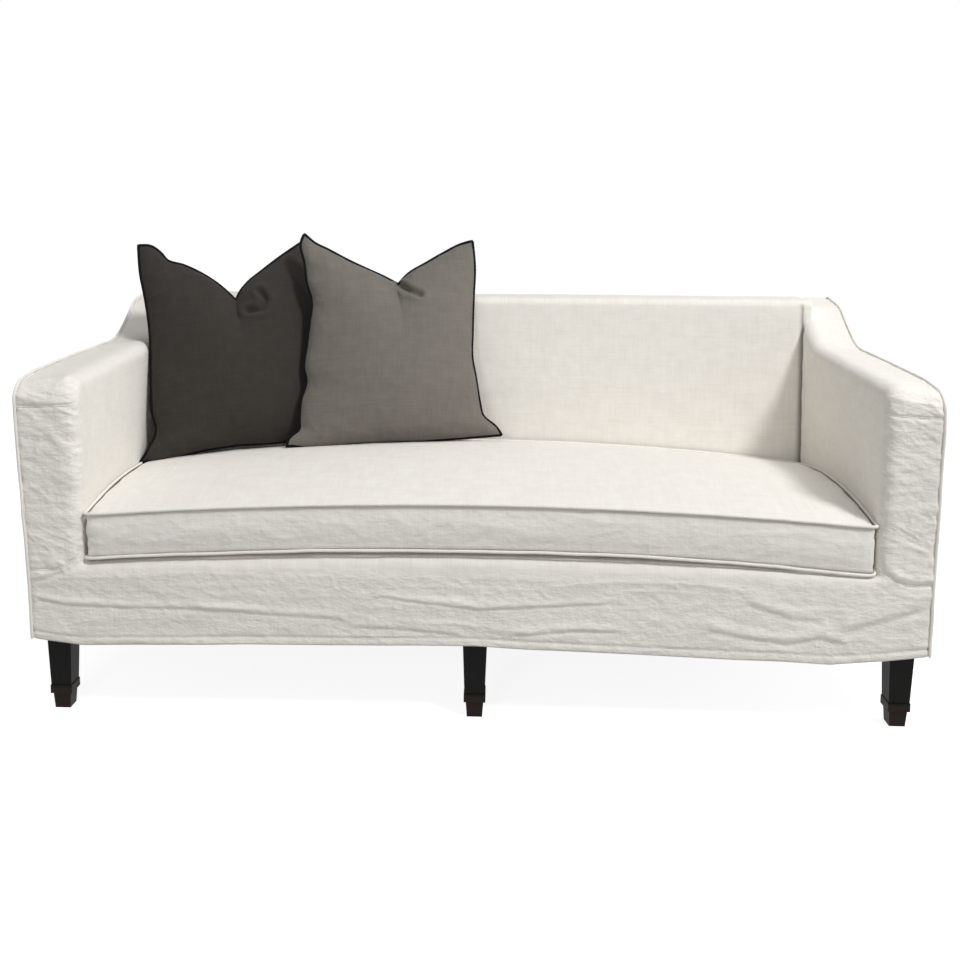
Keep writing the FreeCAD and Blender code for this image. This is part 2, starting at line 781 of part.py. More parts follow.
def make_leg(label, x, y):
    """Build one square tapered leg with its cuff and narrow foot, bored for its bolt."""
    pieces = []
    stages = (
        ("foot", "foot_bottom_width", "foot_top_width", "0", "foot_height"),
        ("cuff", "cuff_width", "cuff_width", "foot_height", "ankle_height"),
        ("column", "leg_ankle_width", "leg_top_width", "ankle_height", "leg_height"),
    )
    for name, low_width, high_width, low, high in stages:
        wedge = DOC.addObject("Part::Wedge", label + "_" + name)
        wedge.Placement = Placement(Vector(0, 0, 0), Rotation(Vector(1, 0, 0), 90))
        for axis, width in (("X", low_width), ("Z", low_width), ("X2", high_width), ("Z2", high_width)):
            wedge.setExpression(axis + "min", bound(f"-{width} / 2"))
            wedge.setExpression(axis + "max", bound(f"{width} / 2"))
        wedge.Ymin = 0
        wedge.setExpression("Ymax", bound(high if low == "0" else f"{high} - {low}"))
        if low != "0":
            wedge.setExpression("Placement.Base.z", bound(low))
        if x != "0":
            wedge.setExpression("Placement.Base.x", bound(x))
        wedge.setExpression("Placement.Base.y", bound(y))
        pieces.append(wedge)
    whole = DOC.addObject("Part::MultiFuse", label + "_whole")
    whole.Shapes = pieces
    keep(bored(whole, x, y), label)


def make_legs():
    """Stand the sofa on six legs, each held by one bolt."""
    bolts = []
    for row, y in (("front", "leg_y"), ("rear", "-leg_y")):
        for column, x in (("left", "-leg_x"), ("center", "0"), ("right", "leg_x")):
            label = f"leg_{row}_{column}"
            make_leg(label, x, y)
            bolt = DOC.addObject("Part::Cylinder", label + "_bolt")
            bolt.setExpression("Radius", bound("bolt_diameter / 2"))
            bolt.setExpression("Height", bound("bolt_in_leg + bolt_in_frame"))
            if x != "0":
                bolt.setExpression("Placement.Base.x", bound(x))
            bolt.setExpression("Placement.Base.y", bound(y))
            bolt.setExpression("Placement.Base.z", bound("leg_height - bolt_in_leg"))
            bolts.append(bolt)
    group = DOC.addObject("Part::Compound", "leg_bolts")
    group.Links = bolts
    keep(group, "leg_bolts")


def make_dust_cover():
    """Staple a thin cloth under the rails, cut out round the legs."""
    side = "(cover_side - dust_cover_margin)"
    rear = "(cover_rear - dust_cover_margin)"
    height = ("leg_height - dust_cover_thickness", "leg_height")
    sheet = box("dust_sheet", ("-" + side, side), ("-" + rear, rear), height)
    holes = []
    reach = "(leg_top_width / 2 + dust_cover_leg_gap)"
    for y in ("leg_y", "-leg_y"):
        for x in ("-leg_x", "0", "leg_x"):
            across = (f"-{reach}", reach) if x == "0" else (f"{x} - {reach}", f"{x} + {reach}")
            tall = ("leg_height - cut_overrun", "leg_height + cut_overrun")
            holes.append(box("dust_hole", across, (f"{y} - {reach}", f"{y} + {reach}"), tall))
    tool = DOC.addObject("Part::MultiFuse", "dust_holes")
    tool.Shapes = holes
    cut = DOC.addObject("Part::Cut", "dust_cover")
    cut.Base = sheet
    cut.Tool = tool
    keep(cut, "dust_cover")


def bow(share):
    """Return how far a crowned line has risen at a share of the half width, from 0 to 1."""
    return 1 - share * share


def between(side, middle, share):
    """Blend a side value into a middle value along the width."""
    return side + (middle - side) * bow(share)


def deck_height(across):
    """Return the height of the crowned seat deck at a distance from the middle."""
    return S.deck_side_height + S.deck_crown * bow(across / S.seat_reach)


def cushion_plan(inset):
    """Return the tall plan prism that rounds the cushion's corners and draws in its sides."""
    half = S.cushion_half - inset
    front = S.cushion_front + inset
    rear = S.cushion_rear - inset
    beyond = front - S.cushion_boxing_bulge - S.cut_overrun
    draw = S.cushion_corner_draw
    shoulder = half - draw * CORNER_SHOULDER_SHARE
    nose = half - draw
    low = S.leg_height
    edges = []
    for side in (1, -1):
        waist = Vector(side * (half - S.cushion_side_draw), (front + rear) / 2, low)
        front_corner = Vector(side * half, front + draw, low)
        rear_corner = Vector(side * half, rear - draw, low)
        front_tip = Vector(side * nose, front - S.cushion_boxing_bulge, low)
        rear_tip = Vector(side * nose, rear, low)
        front_shoulder = Vector(side * shoulder, front + draw / 2, low)
        rear_shoulder = Vector(side * shoulder, rear - draw / 2, low)
        edges.append(Part.Arc(front_corner, waist, rear_corner).toShape())
        edges.append(Part.Arc(front_corner, front_shoulder, front_tip).toShape())
        edges.append(Part.Arc(rear_corner, rear_shoulder, rear_tip).toShape())
        edges.append(Part.makeLine(front_tip, Vector(side * nose, beyond, low)))
    edges.append(Part.makeLine(Vector(-nose, beyond, low), Vector(nose, beyond, low)))
    edges.append(Part.makeLine(Vector(-nose, rear, low), Vector(nose, rear, low)))
    outline = Part.Face(Part.Wire(Part.__sortEdges__(edges)))
    return outline.extrude(Vector(0, 0, S.back_height))


def strip_sag():
    """Return how far the cushion's flat-bottomed strips sag below the crown between two stations."""
    half_strip = S.cushion_half * (CUSHION_STATION_SHARES[1] - CUSHION_STATION_SHARES[0]) / 2
    return S.deck_crown * (half_strip / S.seat_reach) ** 2


def cushion_section(share, inset):
    """Return the cushion's side section at a share of its half width, inset by a wall."""
    x = (S.cushion_half - inset) * share
    front = S.cushion_front + inset
    rear = S.cushion_rear - inset
    middle = (front + rear) / 2
    low = between(S.cushion_low_seam_side, S.cushion_low_seam_middle, share) + inset
    top = between(S.cushion_top_seam_side, S.cushion_top_seam_middle, share) - inset
    rear_top = top + S.cushion_rear_rise * bow(share)
    crown = between(S.cushion_crown_side, S.cushion_crown_middle, share)
    rest = deck_height(x) + S.rest_gap + strip_sag() + inset
    front_rest = Vector(x, front + S.cushion_under_run, rest)
    rear_rest = Vector(x, rear - S.cushion_under_run, rest)
    low_front = Vector(x, front, low)
    low_rear = Vector(x, rear, low)
    top_front = Vector(x, front, top)
    top_rear = Vector(x, rear, rear_top)
    fall = Vector(0, 0, -S.cushion_under_fall)
    boxing = Vector(x, front - S.cushion_boxing_bulge, (low + top) / 2)
    ridge = Vector(x, middle, (top + rear_top) / 2 + crown)
    edges = [
        Part.Arc(low_front, boxing, top_front).toShape(),
        Part.Arc(top_front, ridge, top_rear).toShape(),
        Part.makeLine(top_rear, low_rear),
        Part.Arc(low_rear, (low_rear + rear_rest) / 2 + fall, rear_rest).toShape(),
        Part.makeLine(rear_rest, front_rest),
        Part.Arc(front_rest, (front_rest + low_front) / 2 + fall, low_front).toShape(),
    ]
    return Part.Wire(edges)


def cushion_form(inset):
    """Return the crowned seat cushion, drawn in at its corners and inset by a wall."""
    sections = [cushion_section(share, inset) for share in CUSHION_STATION_SHARES]
    return Part.makeLoft(sections, True, True).common(cushion_plan(inset))


def smooth_loop(points):
    """Return a closed path through straight runs joined by tangent arcs as large as the runs allow."""
    corners = []
    count = len(points)
    for index, point in enumerate(points):
        before = points[index - 1] - point
        after = points[(index + 1) % count] - point
        turn = math.pi - before.getAngle(after)
        run = min(before.Length, after.Length)
        corners.append((point, ARC_RUN_SHARE * run / math.tan(turn / 2)))
    return rounded_wire(corners)


def welt_path(side, middle, rise, crown):
    """Return the closed path of a seam cord, with a rise along its rear and a crown on its sides."""
    out = S.welt_stand_off
    half = S.cushion_half + out
    front = S.cushion_front - out
    rear = S.cushion_rear + out
    draw = S.cushion_corner_draw
    nose = half - draw
    shoulder = half - draw * CORNER_SHOULDER_SHARE
    reach = (rear - front) / 2
    run = [(half * share, front, between(side, middle, share)) for share in WELT_POINT_SHARES]
    run.append((nose, front, between(side, middle, nose / half)))
    run.append((shoulder, front + draw / 2, side))
    run.append((half, front + draw, side))
    if crown:
        for share in WELT_SIDE_SHARES:
            run.append((half, front + reach * (1 + share), side + crown * bow(share)))
    run.append((half, rear - draw, side))
    run.append((shoulder, rear - draw / 2, side))
    run.append((nose, rear, between(side, middle + rise, nose / half)))
    for share in reversed(WELT_POINT_SHARES):
        run.append((half * share, rear, between(side, middle + rise, share)))
    points = [Vector(*point) for point in run]
    points.append(Vector(0, rear, middle + rise))
    points += [Vector(-x, y, z) for x, y, z in reversed(run)]
    points.append(Vector(0, front, middle))
    return smooth_loop(points)


def make_cushion():
    """Build the loose seat cushion: cover, core, seam cords and zip."""
    outer = cushion_form(0)
    core = cushion_form(S.cushion_cover_thickness)
    cover = outer.cut(core)
    side = S.cushion_top_seam_side
    middle = S.cushion_top_seam_middle
    top_path = welt_path(side, middle, S.cushion_rear_rise, S.cushion_crown_side)
    low_path = welt_path(S.cushion_low_seam_side, S.cushion_low_seam_middle, 0, 0)
    feature("seat_cushion_cover", cover)
    feature("seat_cushion_core", core)
    feature("seat_cushion_top_welt", tube(top_path, S.welt_radius))
    feature("seat_cushion_low_welt", tube(low_path, S.welt_radius))
    half = "zip_length / 2"
    half_tape = "zip_tape_height / 2"
    tape_high = ("zip_height - " + half_tape, "zip_height + " + half_tape)
    tape = box("seat_cushion_zip", ("-" + half, half), ("cushion_rear", "zip_face"), tape_high)
    keep(tape, "seat_cushion_zip")
    slider_high = ("zip_height - slider_height / 2", "zip_height + slider_height / 2")
    slider_deep = ("zip_face + rest_gap", "zip_face + rest_gap + slider_thickness")
    slider = box("zip_slider", (f"-{half}", f"slider_length - {half}"), slider_deep, slider_high)
    keep(slider, "zip_slider")
    return outer


def pillow_outline(inset, notch_depth):
    """Return a pillow's flat outline: drawn-in sides, two ears and the pressed-in top notch."""
    half = S.pillow_width / 2
    high = S.pillow_height
    left_foot = Vector(-half, 0, 0)
    right_foot = Vector(half, 0, 0)
    left_ear = Vector(S.pillow_ear_draw - half, 0, high)
    right_ear = Vector(half - S.pillow_far_ear_draw, 0, high - S.pillow_far_ear_drop)
    notch = Vector(0, 0, high - notch_depth)
    first, last, notch_arc = corner_arc(notch, left_ear, right_ear, S.pillow_notch_round)
    left_waist = (left_foot + left_ear) / 2 + Vector(S.pillow_side_draw, 0, 0)
    right_waist = (right_foot + right_ear) / 2 - Vector(S.pillow_side_draw, 0, 0)
    edges = [
        Part.Arc(left_foot, left_waist, left_ear).toShape(),
        Part.makeLine(left_ear, first),
        notch_arc,
        Part.makeLine(last, right_ear),
        Part.Arc(right_ear, right_waist, right_foot).toShape(),
        Part.Arc(right_foot, Vector(0, 0, S.pillow_foot_bow), left_foot).toShape(),
    ]
    wire = Part.Wire(edges)
    return wire.makeOffset2D(-inset) if inset else wire


def swell_edges(start, top, end, sides):
    """Return the arc from start over top to end, or as many flat chords of it as sides says."""
    arc = Part.Arc(start, top, end).toShape()
    if not sides:
        return [arc]
    points = arc.discretize(Number=sides + 1)
    return [Part.makeLine(first, last) for first, last in zip(points, points[1:])]


def pillow_form(inset, notch_depth, sides):
    """Return the stuffed body of a pillow, swelling from its seams, inset by a wall."""
    half = S.pillow_width / 2 + S.cut_overrun
    edge = S.pillow_seam_thickness / 2 - inset / 2
    span = S.pillow_height + 2 * S.cut_overrun
    sections = []
    for place, swell in zip(PILLOW_HEIGHT_SHARES, PILLOW_BULGE_SHARES):
        z = span * place - S.cut_overrun
        front = Vector(0, -edge - (S.pillow_front_bulge - inset) * swell, z)
        rear = Vector(0, edge + (S.pillow_rear_bulge - inset) * swell, z)
        corners = [
            Vector(-half, -edge, z),
            Vector(half, -edge, z),
            Vector(half, edge, z),
            Vector(-half, edge, z),
        ]
        edges = swell_edges(corners[0], front, corners[1], sides)
        edges.append(Part.makeLine(corners[1], corners[2]))
        edges += swell_edges(corners[2], rear, corners[3], sides)
        edges.append(Part.makeLine(corners[3], corners[0]))
        sections.append(Part.Wire(edges))
    body = Part.makeLoft(sections, True, True)
    return body.common(flat_piece(pillow_outline(inset, notch_depth), S.arm_width))


def flat_piece(wire, thickness):
    """Extrude an outline in the pillow's plane equally to its front and rear."""
    face = Part.Face(wire)
    face.translate(Vector(0, -thickness, 0))
    return face.extrude(Vector(0, 2 * thickness, 0))


def pillow_pieces(notch_depth):
    """Return a pillow's cover, inner pad and edge binding in its own upright frame."""
    outer = pillow_form(0, notch_depth, 0)
    pad = pillow_form(S.pillow_cover_thickness, notch_depth, PAD_SIDES)
    outline = pillow_outline(0, notch_depth)
    half_edge = S.pillow_seam_thickness / 2
    wide = flat_piece(outline.makeOffset2D(S.edging_width), half_edge)
    binding = wide.cut(flat_piece(outline, half_edge))
    return outer.cut(pad), pad, binding


def make_pillow(label, pieces, place, turn, tilt, seat):
    """Lean one pillow against the back at its place and lower it onto what carries it."""
    pose = Rotation(Vector(0, 0, 1), turn)
    pose = pose * Rotation(Vector(1, 0, 0), -PILLOW_LEAN_ANGLE)
    pose = pose * Rotation(Vector(0, 1, 0), tilt)
    placement = Placement(place, pose)
    whole = Part.makeCompound(pieces)
    whole.Placement = placement
    gap = whole.distToShape(seat)[0]
    while gap > 2 * S.rest_gap:
        drop = Vector(0, 0, S.rest_gap - gap)
        whole.translate(drop)
        placement.Base = placement.Base + drop
        gap = whole.distToShape(seat)[0]
    for name, piece in zip(("_cover", "_insert", "_edging"), pieces):
        node = feature(label + name, piece)
        node.Placement = placement


def make_pillows(seat):
    """Stand the dark pillow and the grey one, sewn from one pattern, at the left of the seat."""
    above = S.cushion_top_seam_middle + S.rail_height
    place = Vector(-S.dark_pillow_side, S.back_foot - S.dark_pillow_set, above)
    pieces = pillow_pieces(S.dark_pillow_notch_depth)
    make_pillow("dark_pillow", pieces, place, DARK_PILLOW_TURN_ANGLE, DARK_PILLOW_TILT_ANGLE, seat)
    place = Vector(-S.grey_pillow_side, S.back_foot - S.grey_pillow_set, above)
    pieces = pillow_pieces(S.grey_pillow_notch_depth)
    make_pillow("grey_pillow", pieces, place, GREY_PILLOW_TURN_ANGLE, GREY_PILLOW_TILT_ANGLE, seat)


def check_and_export():
    """Recompute, check every object and shape, and write one file for each node."""
    DOC.recompute()
    for item in DOC.Objects:
        for state in ("Invalid", "Error"):
            if state in item.State:
                raise RuntimeError(f"{item.Name} is {state}")
    os.makedirs("parts", exist_ok=True)
    for node in NODES:
        if node.Shape.isNull() or not node.Shape.isValid():
            raise RuntimeError(f"{node.Label} has no valid shape")
        node.Shape.exportStep(f"parts/{node.Label}.step")
    print(f"{len(NODES)} nodes written")


def main():
    """Build every piece from the frame outwards and write the files."""
    form = sofa_form(0, S.hem_height)
    lining = sofa_form(S.cloth_thickness, S.hem_height - S.cut_overrun)
    make_cover(form, lining)
    make_piping()
    make_rails()
    make_arm_frames()
    make_back_frame()
    make_suspension()
    make_padding(lining)
    make_dust_cover()
    make_legs()
    make_pillows(make_cushion())
    check_and_export()


main()
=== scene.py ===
"""Looks for the slipcovered sofa: linen slipcover, loose cushion, two pillows, frame and studio.

Lengths are in metres unless a comment says otherwise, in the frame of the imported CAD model: X
across the sofa, -Y towards the viewer, Z up.
"""

import math

import bmesh
import bpy
import numpy as np
from mathutils import Matrix, Vector
from mathutils.bvhtree import BVHTree


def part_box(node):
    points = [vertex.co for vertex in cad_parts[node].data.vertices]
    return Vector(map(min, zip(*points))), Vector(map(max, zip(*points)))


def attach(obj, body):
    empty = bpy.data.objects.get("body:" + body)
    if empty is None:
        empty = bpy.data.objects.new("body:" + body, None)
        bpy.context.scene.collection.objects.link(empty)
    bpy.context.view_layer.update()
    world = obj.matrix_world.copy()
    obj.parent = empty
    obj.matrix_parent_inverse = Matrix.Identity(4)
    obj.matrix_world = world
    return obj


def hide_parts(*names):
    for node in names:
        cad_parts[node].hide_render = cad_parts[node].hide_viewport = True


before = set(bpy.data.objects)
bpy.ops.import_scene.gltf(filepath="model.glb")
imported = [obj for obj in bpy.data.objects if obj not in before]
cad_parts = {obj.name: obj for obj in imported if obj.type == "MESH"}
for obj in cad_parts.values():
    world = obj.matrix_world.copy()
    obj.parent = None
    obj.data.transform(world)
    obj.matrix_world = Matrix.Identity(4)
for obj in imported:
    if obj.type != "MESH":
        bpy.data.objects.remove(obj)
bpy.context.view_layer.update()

SIDES = ("left", "right")
SIDE_SIGN = {"left": -1.0, "right": 1.0}

# Camera, resected from the photograph's outline.
PHOTO_PIXELS = 960
SENSOR = 36.0
CAMERA_PLACE = (0.0458, -2.7105, 1.0912)
CAMERA_YAW = 0.0361
CAMERA_PITCH = 0.1141
CAMERA_ROLL = 0.0066
FOCAL_PIXELS = 1095.13
AXIS_PIXEL = (459.76, 346.05)

# Places of the sofa's main faces, read from the CAD nodes.
HALF_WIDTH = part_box("cover_arm_outside_right")[1].x
INNER_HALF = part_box("cover_deck")[1].x
FRONT_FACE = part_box("cover_apron")[0].y
REAR_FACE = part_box("cover_back_outside")[1].y
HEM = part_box("cover_apron")[0].z
BACK_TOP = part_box("cover_back_outside")[1].z
APRON_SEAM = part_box("cover_arm_front_right")[0].z
ARM_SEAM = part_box("cover_arm_front_right")[1].z
LOW_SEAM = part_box("seat_cushion_low_welt")[0].z

# Skins, cords, sheets, the swelling of cushions and wrinkle noise.
BODY_VOXEL = 0.006
CUSHION_VOXEL = 0.010
PIPING_RADIUS = 0.0034
SEAM_RADIUS = 0.0011
WELT_RADIUS = 0.0035
BINDING_RADIUS = 0.0040
CORD_STEP = 0.006
PIPING_STEP = 0.008
PIPING_POINTS = 900
SEAM_STEP = 0.004
SHEET_THICKNESS = 0.0008
CLOTH_PRESSURE = 3.0
CLOTH_FRAMES = 20
SEED = 7
LATTICE_SIDE = 32


# ---- meshes


def new_object(name, data):
    """Add an object for a mesh, curve, lamp or camera to the scene."""
    made = bpy.data.objects.new(name, data)
    bpy.context.scene.collection.objects.link(made)
    return made


def mesh_of(name, points, faces):
    """Return an object from points and faces, with smooth shading."""
    mesh = bpy.data.meshes.new(name)
    mesh.from_pydata([tuple(p) for p in points], [], faces)
    mesh.validate()
    made = new_object(name, mesh)
    smooth(made)
    return made


def smooth(piece):
    """Shade a piece smoothly."""
    piece.data.polygons.foreach_set("use_smooth", np.ones(len(piece.data.polygons), bool))


def points_of(piece, fact="co"):
    """Return a mesh object's points, or another fact of them, as an array."""
    flat = np.empty(len(piece.data.vertices) * 3)
    piece.data.vertices.foreach_get(fact, flat)
    return flat.reshape(-1, 3)


def normals_of(piece):
    """Return a mesh object's point normals as an array."""
    return points_of(piece, "normal")


def move_points(piece, points):
    """Give a mesh object's points new places."""
    piece.data.vertices.foreach_set("co", np.asarray(points, float).ravel())
    piece.data.update()


def joined(name, nodes):
    """Return one new object that holds copies of several CAD nodes' meshes."""
    made = bmesh.new()
    for node in nodes:
        made.from_mesh(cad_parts[node].data)
    mesh = bpy.data.meshes.new(name)
    made.to_mesh(mesh)
    made.free()
    return new_object(name, mesh)


def side_prism(outline, low, high):
    """Return the points and faces of a closed YZ outline extruded along X."""
    count = len(outline)
    points = [(x, y, z) for x in (low, high) for y, z in outline]
    faces = [tuple(range(count)), tuple(range(2 * count - 1, count - 1, -1))]
    for i in range(count):
        j = (i + 1) % count
        faces.append((i, i + count, j + count, j))
    return points, faces


def add_part(piece, points, faces):
    """Add more points and faces to a mesh object."""
    made = bmesh.new()
    made.from_mesh(piece.data)
    added = [made.verts.new(p) for p in points]
    for face in faces:
        made.faces.new([added[i] for i in face])
    made.faces.ensure_lookup_table()
    bmesh.ops.recalc_face_normals(made, faces=made.faces[-len(faces):])
    made.to_mesh(piece.data)
    made.free()


def apply_modifiers(piece):
    """Bake a piece's modifiers into its mesh."""
    graph = bpy.context.evaluated_depsgraph_get()
    baked = bpy.data.meshes.new_from_object(piece.evaluated_get(graph))
    piece.modifiers.clear()
    piece.data = baked


def voxel_remesh(piece, size):
    """Rebuild a piece as one even skin."""
    remesh = piece.modifiers.new("remesh", "REMESH")
    remesh.mode = "VOXEL"
    remesh.voxel_size = size
    remesh.use_smooth_shade = True
    apply_modifiers(piece)


def keep_largest(piece):
    """Delete all but the largest connected part of a mesh."""
    count = len(piece.data.vertices)
    ends = np.empty(len(piece.data.edges) * 2, int)
    piece.data.edges.foreach_get("vertices", ends)
    first, last = ends.reshape(-1, 2).T
    group = np.arange(count)
    while True:
        low = np.minimum(group[first], group[last])
        renewed = group.copy()
        np.minimum.at(renewed, first, low)
        np.minimum.at(renewed, last, low)
        renewed = renewed[renewed]
        if np.array_equal(renewed, group):
            break
        group = renewed
    largest = np.bincount(group).argmax()
    made = bmesh.new()
    made.from_mesh(piece.data)
    made.verts.ensure_lookup_table()
    stray = [made.verts[i] for i in np.flatnonzero(group != largest)]
    bmesh.ops.delete(made, geom=stray, context="VERTS")
    made.to_mesh(piece.data)
    made.free()


def tree_of(piece):
    """Return a search tree over a mesh object's faces."""
    points = [Vector(p) for p in points_of(piece)]
    return BVHTree.FromPolygons(points, [tuple(face.vertices) for face in piece.data.polygons])


# ---- wrinkles

LATTICE = np.random.default_rng(SEED).uniform(-1.0, 1.0, (LATTICE_SIDE,) * 3)


def lumps(points, size, shift=0.0):
    """Return smooth noise from -1 to 1, its lumps about as long as size along each axis."""
    spots = np.asarray(points) / np.asarray(size) + shift
    cell = np.floor(spots).astype(int)
    part = spots - cell
    part = part * part * (3 - 2 * part)
    total = np.zeros(len(spots))
    for corner in np.ndindex(2, 2, 2):
        weight = np.prod(np.where(corner, part, 1 - part), axis=1)
        i, j, k = ((cell + corner) % LATTICE_SIDE).T
        total += weight * LATTICE[i, j, k]
    return total


def crumple(points, size, shift=0.0):
    """Return the heights of thin crossing creases, from 0 to 1, about as long as size."""
    size = np.asarray(size)
    bend = np.stack([lumps(points, 1.7 * size, shift + 3.1 * k) for k in (1, 2, 3)], axis=1)
    bent = np.asarray(points) + 0.45 * size * bend
    folds = 1 - np.abs(lumps(bent, size, shift))
    finer = 1 - np.abs(lumps(bent, 0.45 * size, shift + 9.0))
    return (folds ** 3 + 0.5 * finer ** 3) / 1.5


def ramp(values, start, end):
    """Return a smooth step from 0 at start to 1 at end."""
    share = np.clip((values - start) / (end - start), 0, 1)
    return share * share * (3 - 2 * share)


def bell(values, middle, width):
    """Return a bump of height 1 at middle that fades over about width."""
    return np.exp(-(((values - middle) / width) ** 2))


# ---- materials


def linear(red, green, blue):
    """Return a screen colour, 0 to 255, as the linear colour that Blender takes."""
    shares = (red / 255, green / 255, blue / 255)
    return tuple(c / 12.92 if c < 0.04045 else ((c + 0.055) / 1.055) ** 2.4 for c in shares) + (1.0,)


class Nodes:
    """Builds one material's nodes."""

    def __init__(self, name):
        self.material = bpy.data.materials.new(name)
        self.material.use_nodes = True
        self.tree = self.material.node_tree
        self.shader = self.tree.nodes["Principled BSDF"]
        self.place = self.add("ShaderNodeTexCoord").outputs["Object"]

    def add(self, kind, sockets=(), **settings):
        """Add a node with its settings and the values or links of its sockets."""
        node = self.tree.nodes.new(kind)
        for name, value in settings.items():
            setattr(node, name, value)
        for socket, value in dict(sockets).items():
            self.give(value, node.inputs[socket])
        return node

    def give(self, value, socket):
        """Set a socket to a number or colour, or link another node's output to it."""
        if isinstance(value, (int, float, tuple)):
            socket.default_value = value
        else:
            self.tree.links.new(value, socket)

    def noise(self, sizes, detail=2.0, roughness=0.5):
        """Return noise as long as a size along each axis."""
        sockets = {0: self.place, 1: sizes}
        place = self.add("ShaderNodeVectorMath", sockets, operation="DIVIDE").outputs[0]
        sockets = {"Vector": place, "Scale": 1.0, "Detail": detail, "Roughness": roughness}
        return self.add("ShaderNodeTexNoise", sockets).outputs["Fac"]

    def threads(self, direction, pitch):
        """Return bands of one pitch along an axis."""
        sockets = {"Vector": self.place, "Scale": math.pi / (10 * pitch)}
        sockets |= {"Distortion": 0.6, "Detail Scale": 1.0}
        return self.add("ShaderNodeTexWave", sockets, bands_direction=direction).outputs["Fac"]

    def math(self, operation, first, second):
        return self.add("ShaderNodeMath", {0: first, 1: second}, operation=operation).outputs[0]

    def mix(self, share, first, second):
        sockets = {"Factor": share, 6: first, 7: second}
        return self.add("ShaderNodeMix", sockets, data_type="RGBA").outputs[2]

    def attribute(self, name, output="Fac"):
        """Return a value that the points of a piece carry."""
        return self.add("ShaderNodeAttribute", attribute_name=name).outputs[output]

    def spread(self, value, low, high):
        """Return a 0 to 1 value between low and high, cut at its ends."""
        sockets = {"Value": value, "From Min": low, "From Max": high}
        return self.add("ShaderNodeMapRange", sockets).outputs["Result"]

    def bump(self, height, distance, below=None):
        sockets = {"Strength": 1.0, "Distance": distance, "Height": height}
        if below is not None:
            sockets["Normal"] = below
        return self.add("ShaderNodeBump", sockets).outputs["Normal"]

    def finish(self, colour, roughness, normal=None, **values):
        self.give(colour, self.shader.inputs["Base Color"])
        self.give(roughness, self.shader.inputs["Roughness"])
        if normal is not None:
            self.give(normal, self.shader.inputs["Normal"])
        for name, value in values.items():
            self.shader.inputs[name.replace("_", " ")].default_value = value
        return self.material


# Painted shade in the depth of a seam or corner: how dark it is, as a share of the cloth's dark
# threads.
PAINTED_SEAM_SHADE = 0.35


def cloth_streaks(make, fast, flat):
    """Return the mean of three across-axis patterns, leaving out the one that a face looks along."""
    if flat:
        return make.math("MULTIPLY", make.math("ADD", fast[0], fast[1]), 0.5)
    normal = make.add("ShaderNodeNewGeometry").outputs["Normal"]
    split = make.add("ShaderNodeSeparateXYZ", {0: normal})
    total, weight = 0.0, 0.0
    for pattern, facing in zip(fast, split.outputs):
        share = make.spread(make.math("ABSOLUTE", facing, 0.0), 0.75, 0.45)
        total = make.math("ADD", total, make.math("MULTIPLY", pattern, share))
        weight = make.math("ADD", weight, share)
    return make.math("DIVIDE", total, weight)


def across(thin, long, axis):
    """Return a size along each axis, thin along one and long along the others."""
    return tuple(thin if k == axis else long for k in range(3))


def cloth_material(name, pale, dark, pitch, slub, crease, sheen, flat=False):
    """Return a woven cloth: threads both ways, slubs that run along them and fine creases.

    A flat cloth takes its place from the cloth_place of its points, others from the room. The
    crinkle of its points says how creased it is. Their seam value says how much painted shade
    darkens it in the depth of a seam or corner.
    """
    make = Nodes(name)
    pale, dark = linear(*pale), linear(*dark)
    if flat:
        make.place = make.attribute("cloth_place", "Vector")
    fine = [make.noise(across(0.0016, 0.05, axis), 1.0) for axis in range(3)]
    coarse = [make.noise(across(0.005, 0.11, axis), 2.0) for axis in range(3)]
    runs = cloth_streaks(make, fine, flat)
    slubs = cloth_streaks(make, coarse, flat)
    weave = cloth_streaks(make, [make.threads(axis, pitch) for axis in "XYZ"], flat)
    mottle = make.noise((0.03, 0.03, 0.03), 3.0)
    tone = make.math("ADD", make.math("MULTIPLY", runs, 0.4), make.math("MULTIPLY", slubs, 0.35))
    tone = make.math("ADD", tone, make.math("MULTIPLY", mottle, 0.25))
    colour = make.mix(make.spread(tone, 0.38, 0.62), dark, pale)
    # Painted shade: the seam value darkens the colour towards a shadow tone in seam folds, corners and
    # under the cushion's edge.
    colour = make.mix(make.attribute("seam"), colour, tuple(PAINTED_SEAM_SHADE * c for c in dark[:3]) + (1.0,))
    normal = make.bump(weave, 0.00012)
    normal = make.bump(runs, slub, normal)
    small = make.noise((0.02, 0.02, 0.011), 4.0, 0.6)
    small = make.math("MULTIPLY", small, make.attribute("crinkle"))
    normal = make.bump(small, crease, normal)
    return make.finish(
        colour, 0.92, normal, Sheen_Weight=sheen, Sheen_Roughness=0.6, Specular_IOR_Level=0.2
    )


# The legs' foot, below a collar, is a browner wood.
FOOT_TOP = 0.052


def wood_material(name, pale, dark, along, roughness, shine, foot=None):
    """Return wood with grain that runs along one axis, and another colour on its foot."""
    make = Nodes(name)
    sizes = [0.006, 0.006, 0.006]
    sizes[along] = 0.12
    grain = make.noise(tuple(sizes), 4.0, 0.6)
    pores = make.noise(tuple(size / 5 for size in sizes), 2.0)
    colour = make.mix(make.spread(grain, 0.3, 0.7), linear(*dark), linear(*pale))
    if foot is not None:
        split = make.add("ShaderNodeSeparateXYZ", {0: make.place})
        on_foot = make.spread(split.outputs["Z"], FOOT_TOP, FOOT_TOP - 0.004)
        colour = make.mix(on_foot, colour, linear(*foot))
    normal = make.bump(make.math("ADD", grain, pores), 0.0002)
    rough = make.math("ADD", make.math("MULTIPLY", grain, 0.12), roughness)
    return make.finish(colour, rough, normal, Specular_IOR_Level=shine)


def metal_material(name, colour, roughness):
    """Return brushed metal."""
    make = Nodes(name)
    marks = make.noise((0.02, 0.001, 0.001), 3.0)
    rough = make.math("ADD", make.math("MULTIPLY", marks, 0.2), roughness)
    return make.finish(linear(*colour), rough, make.bump(marks, 0.00005), Metallic=1.0)


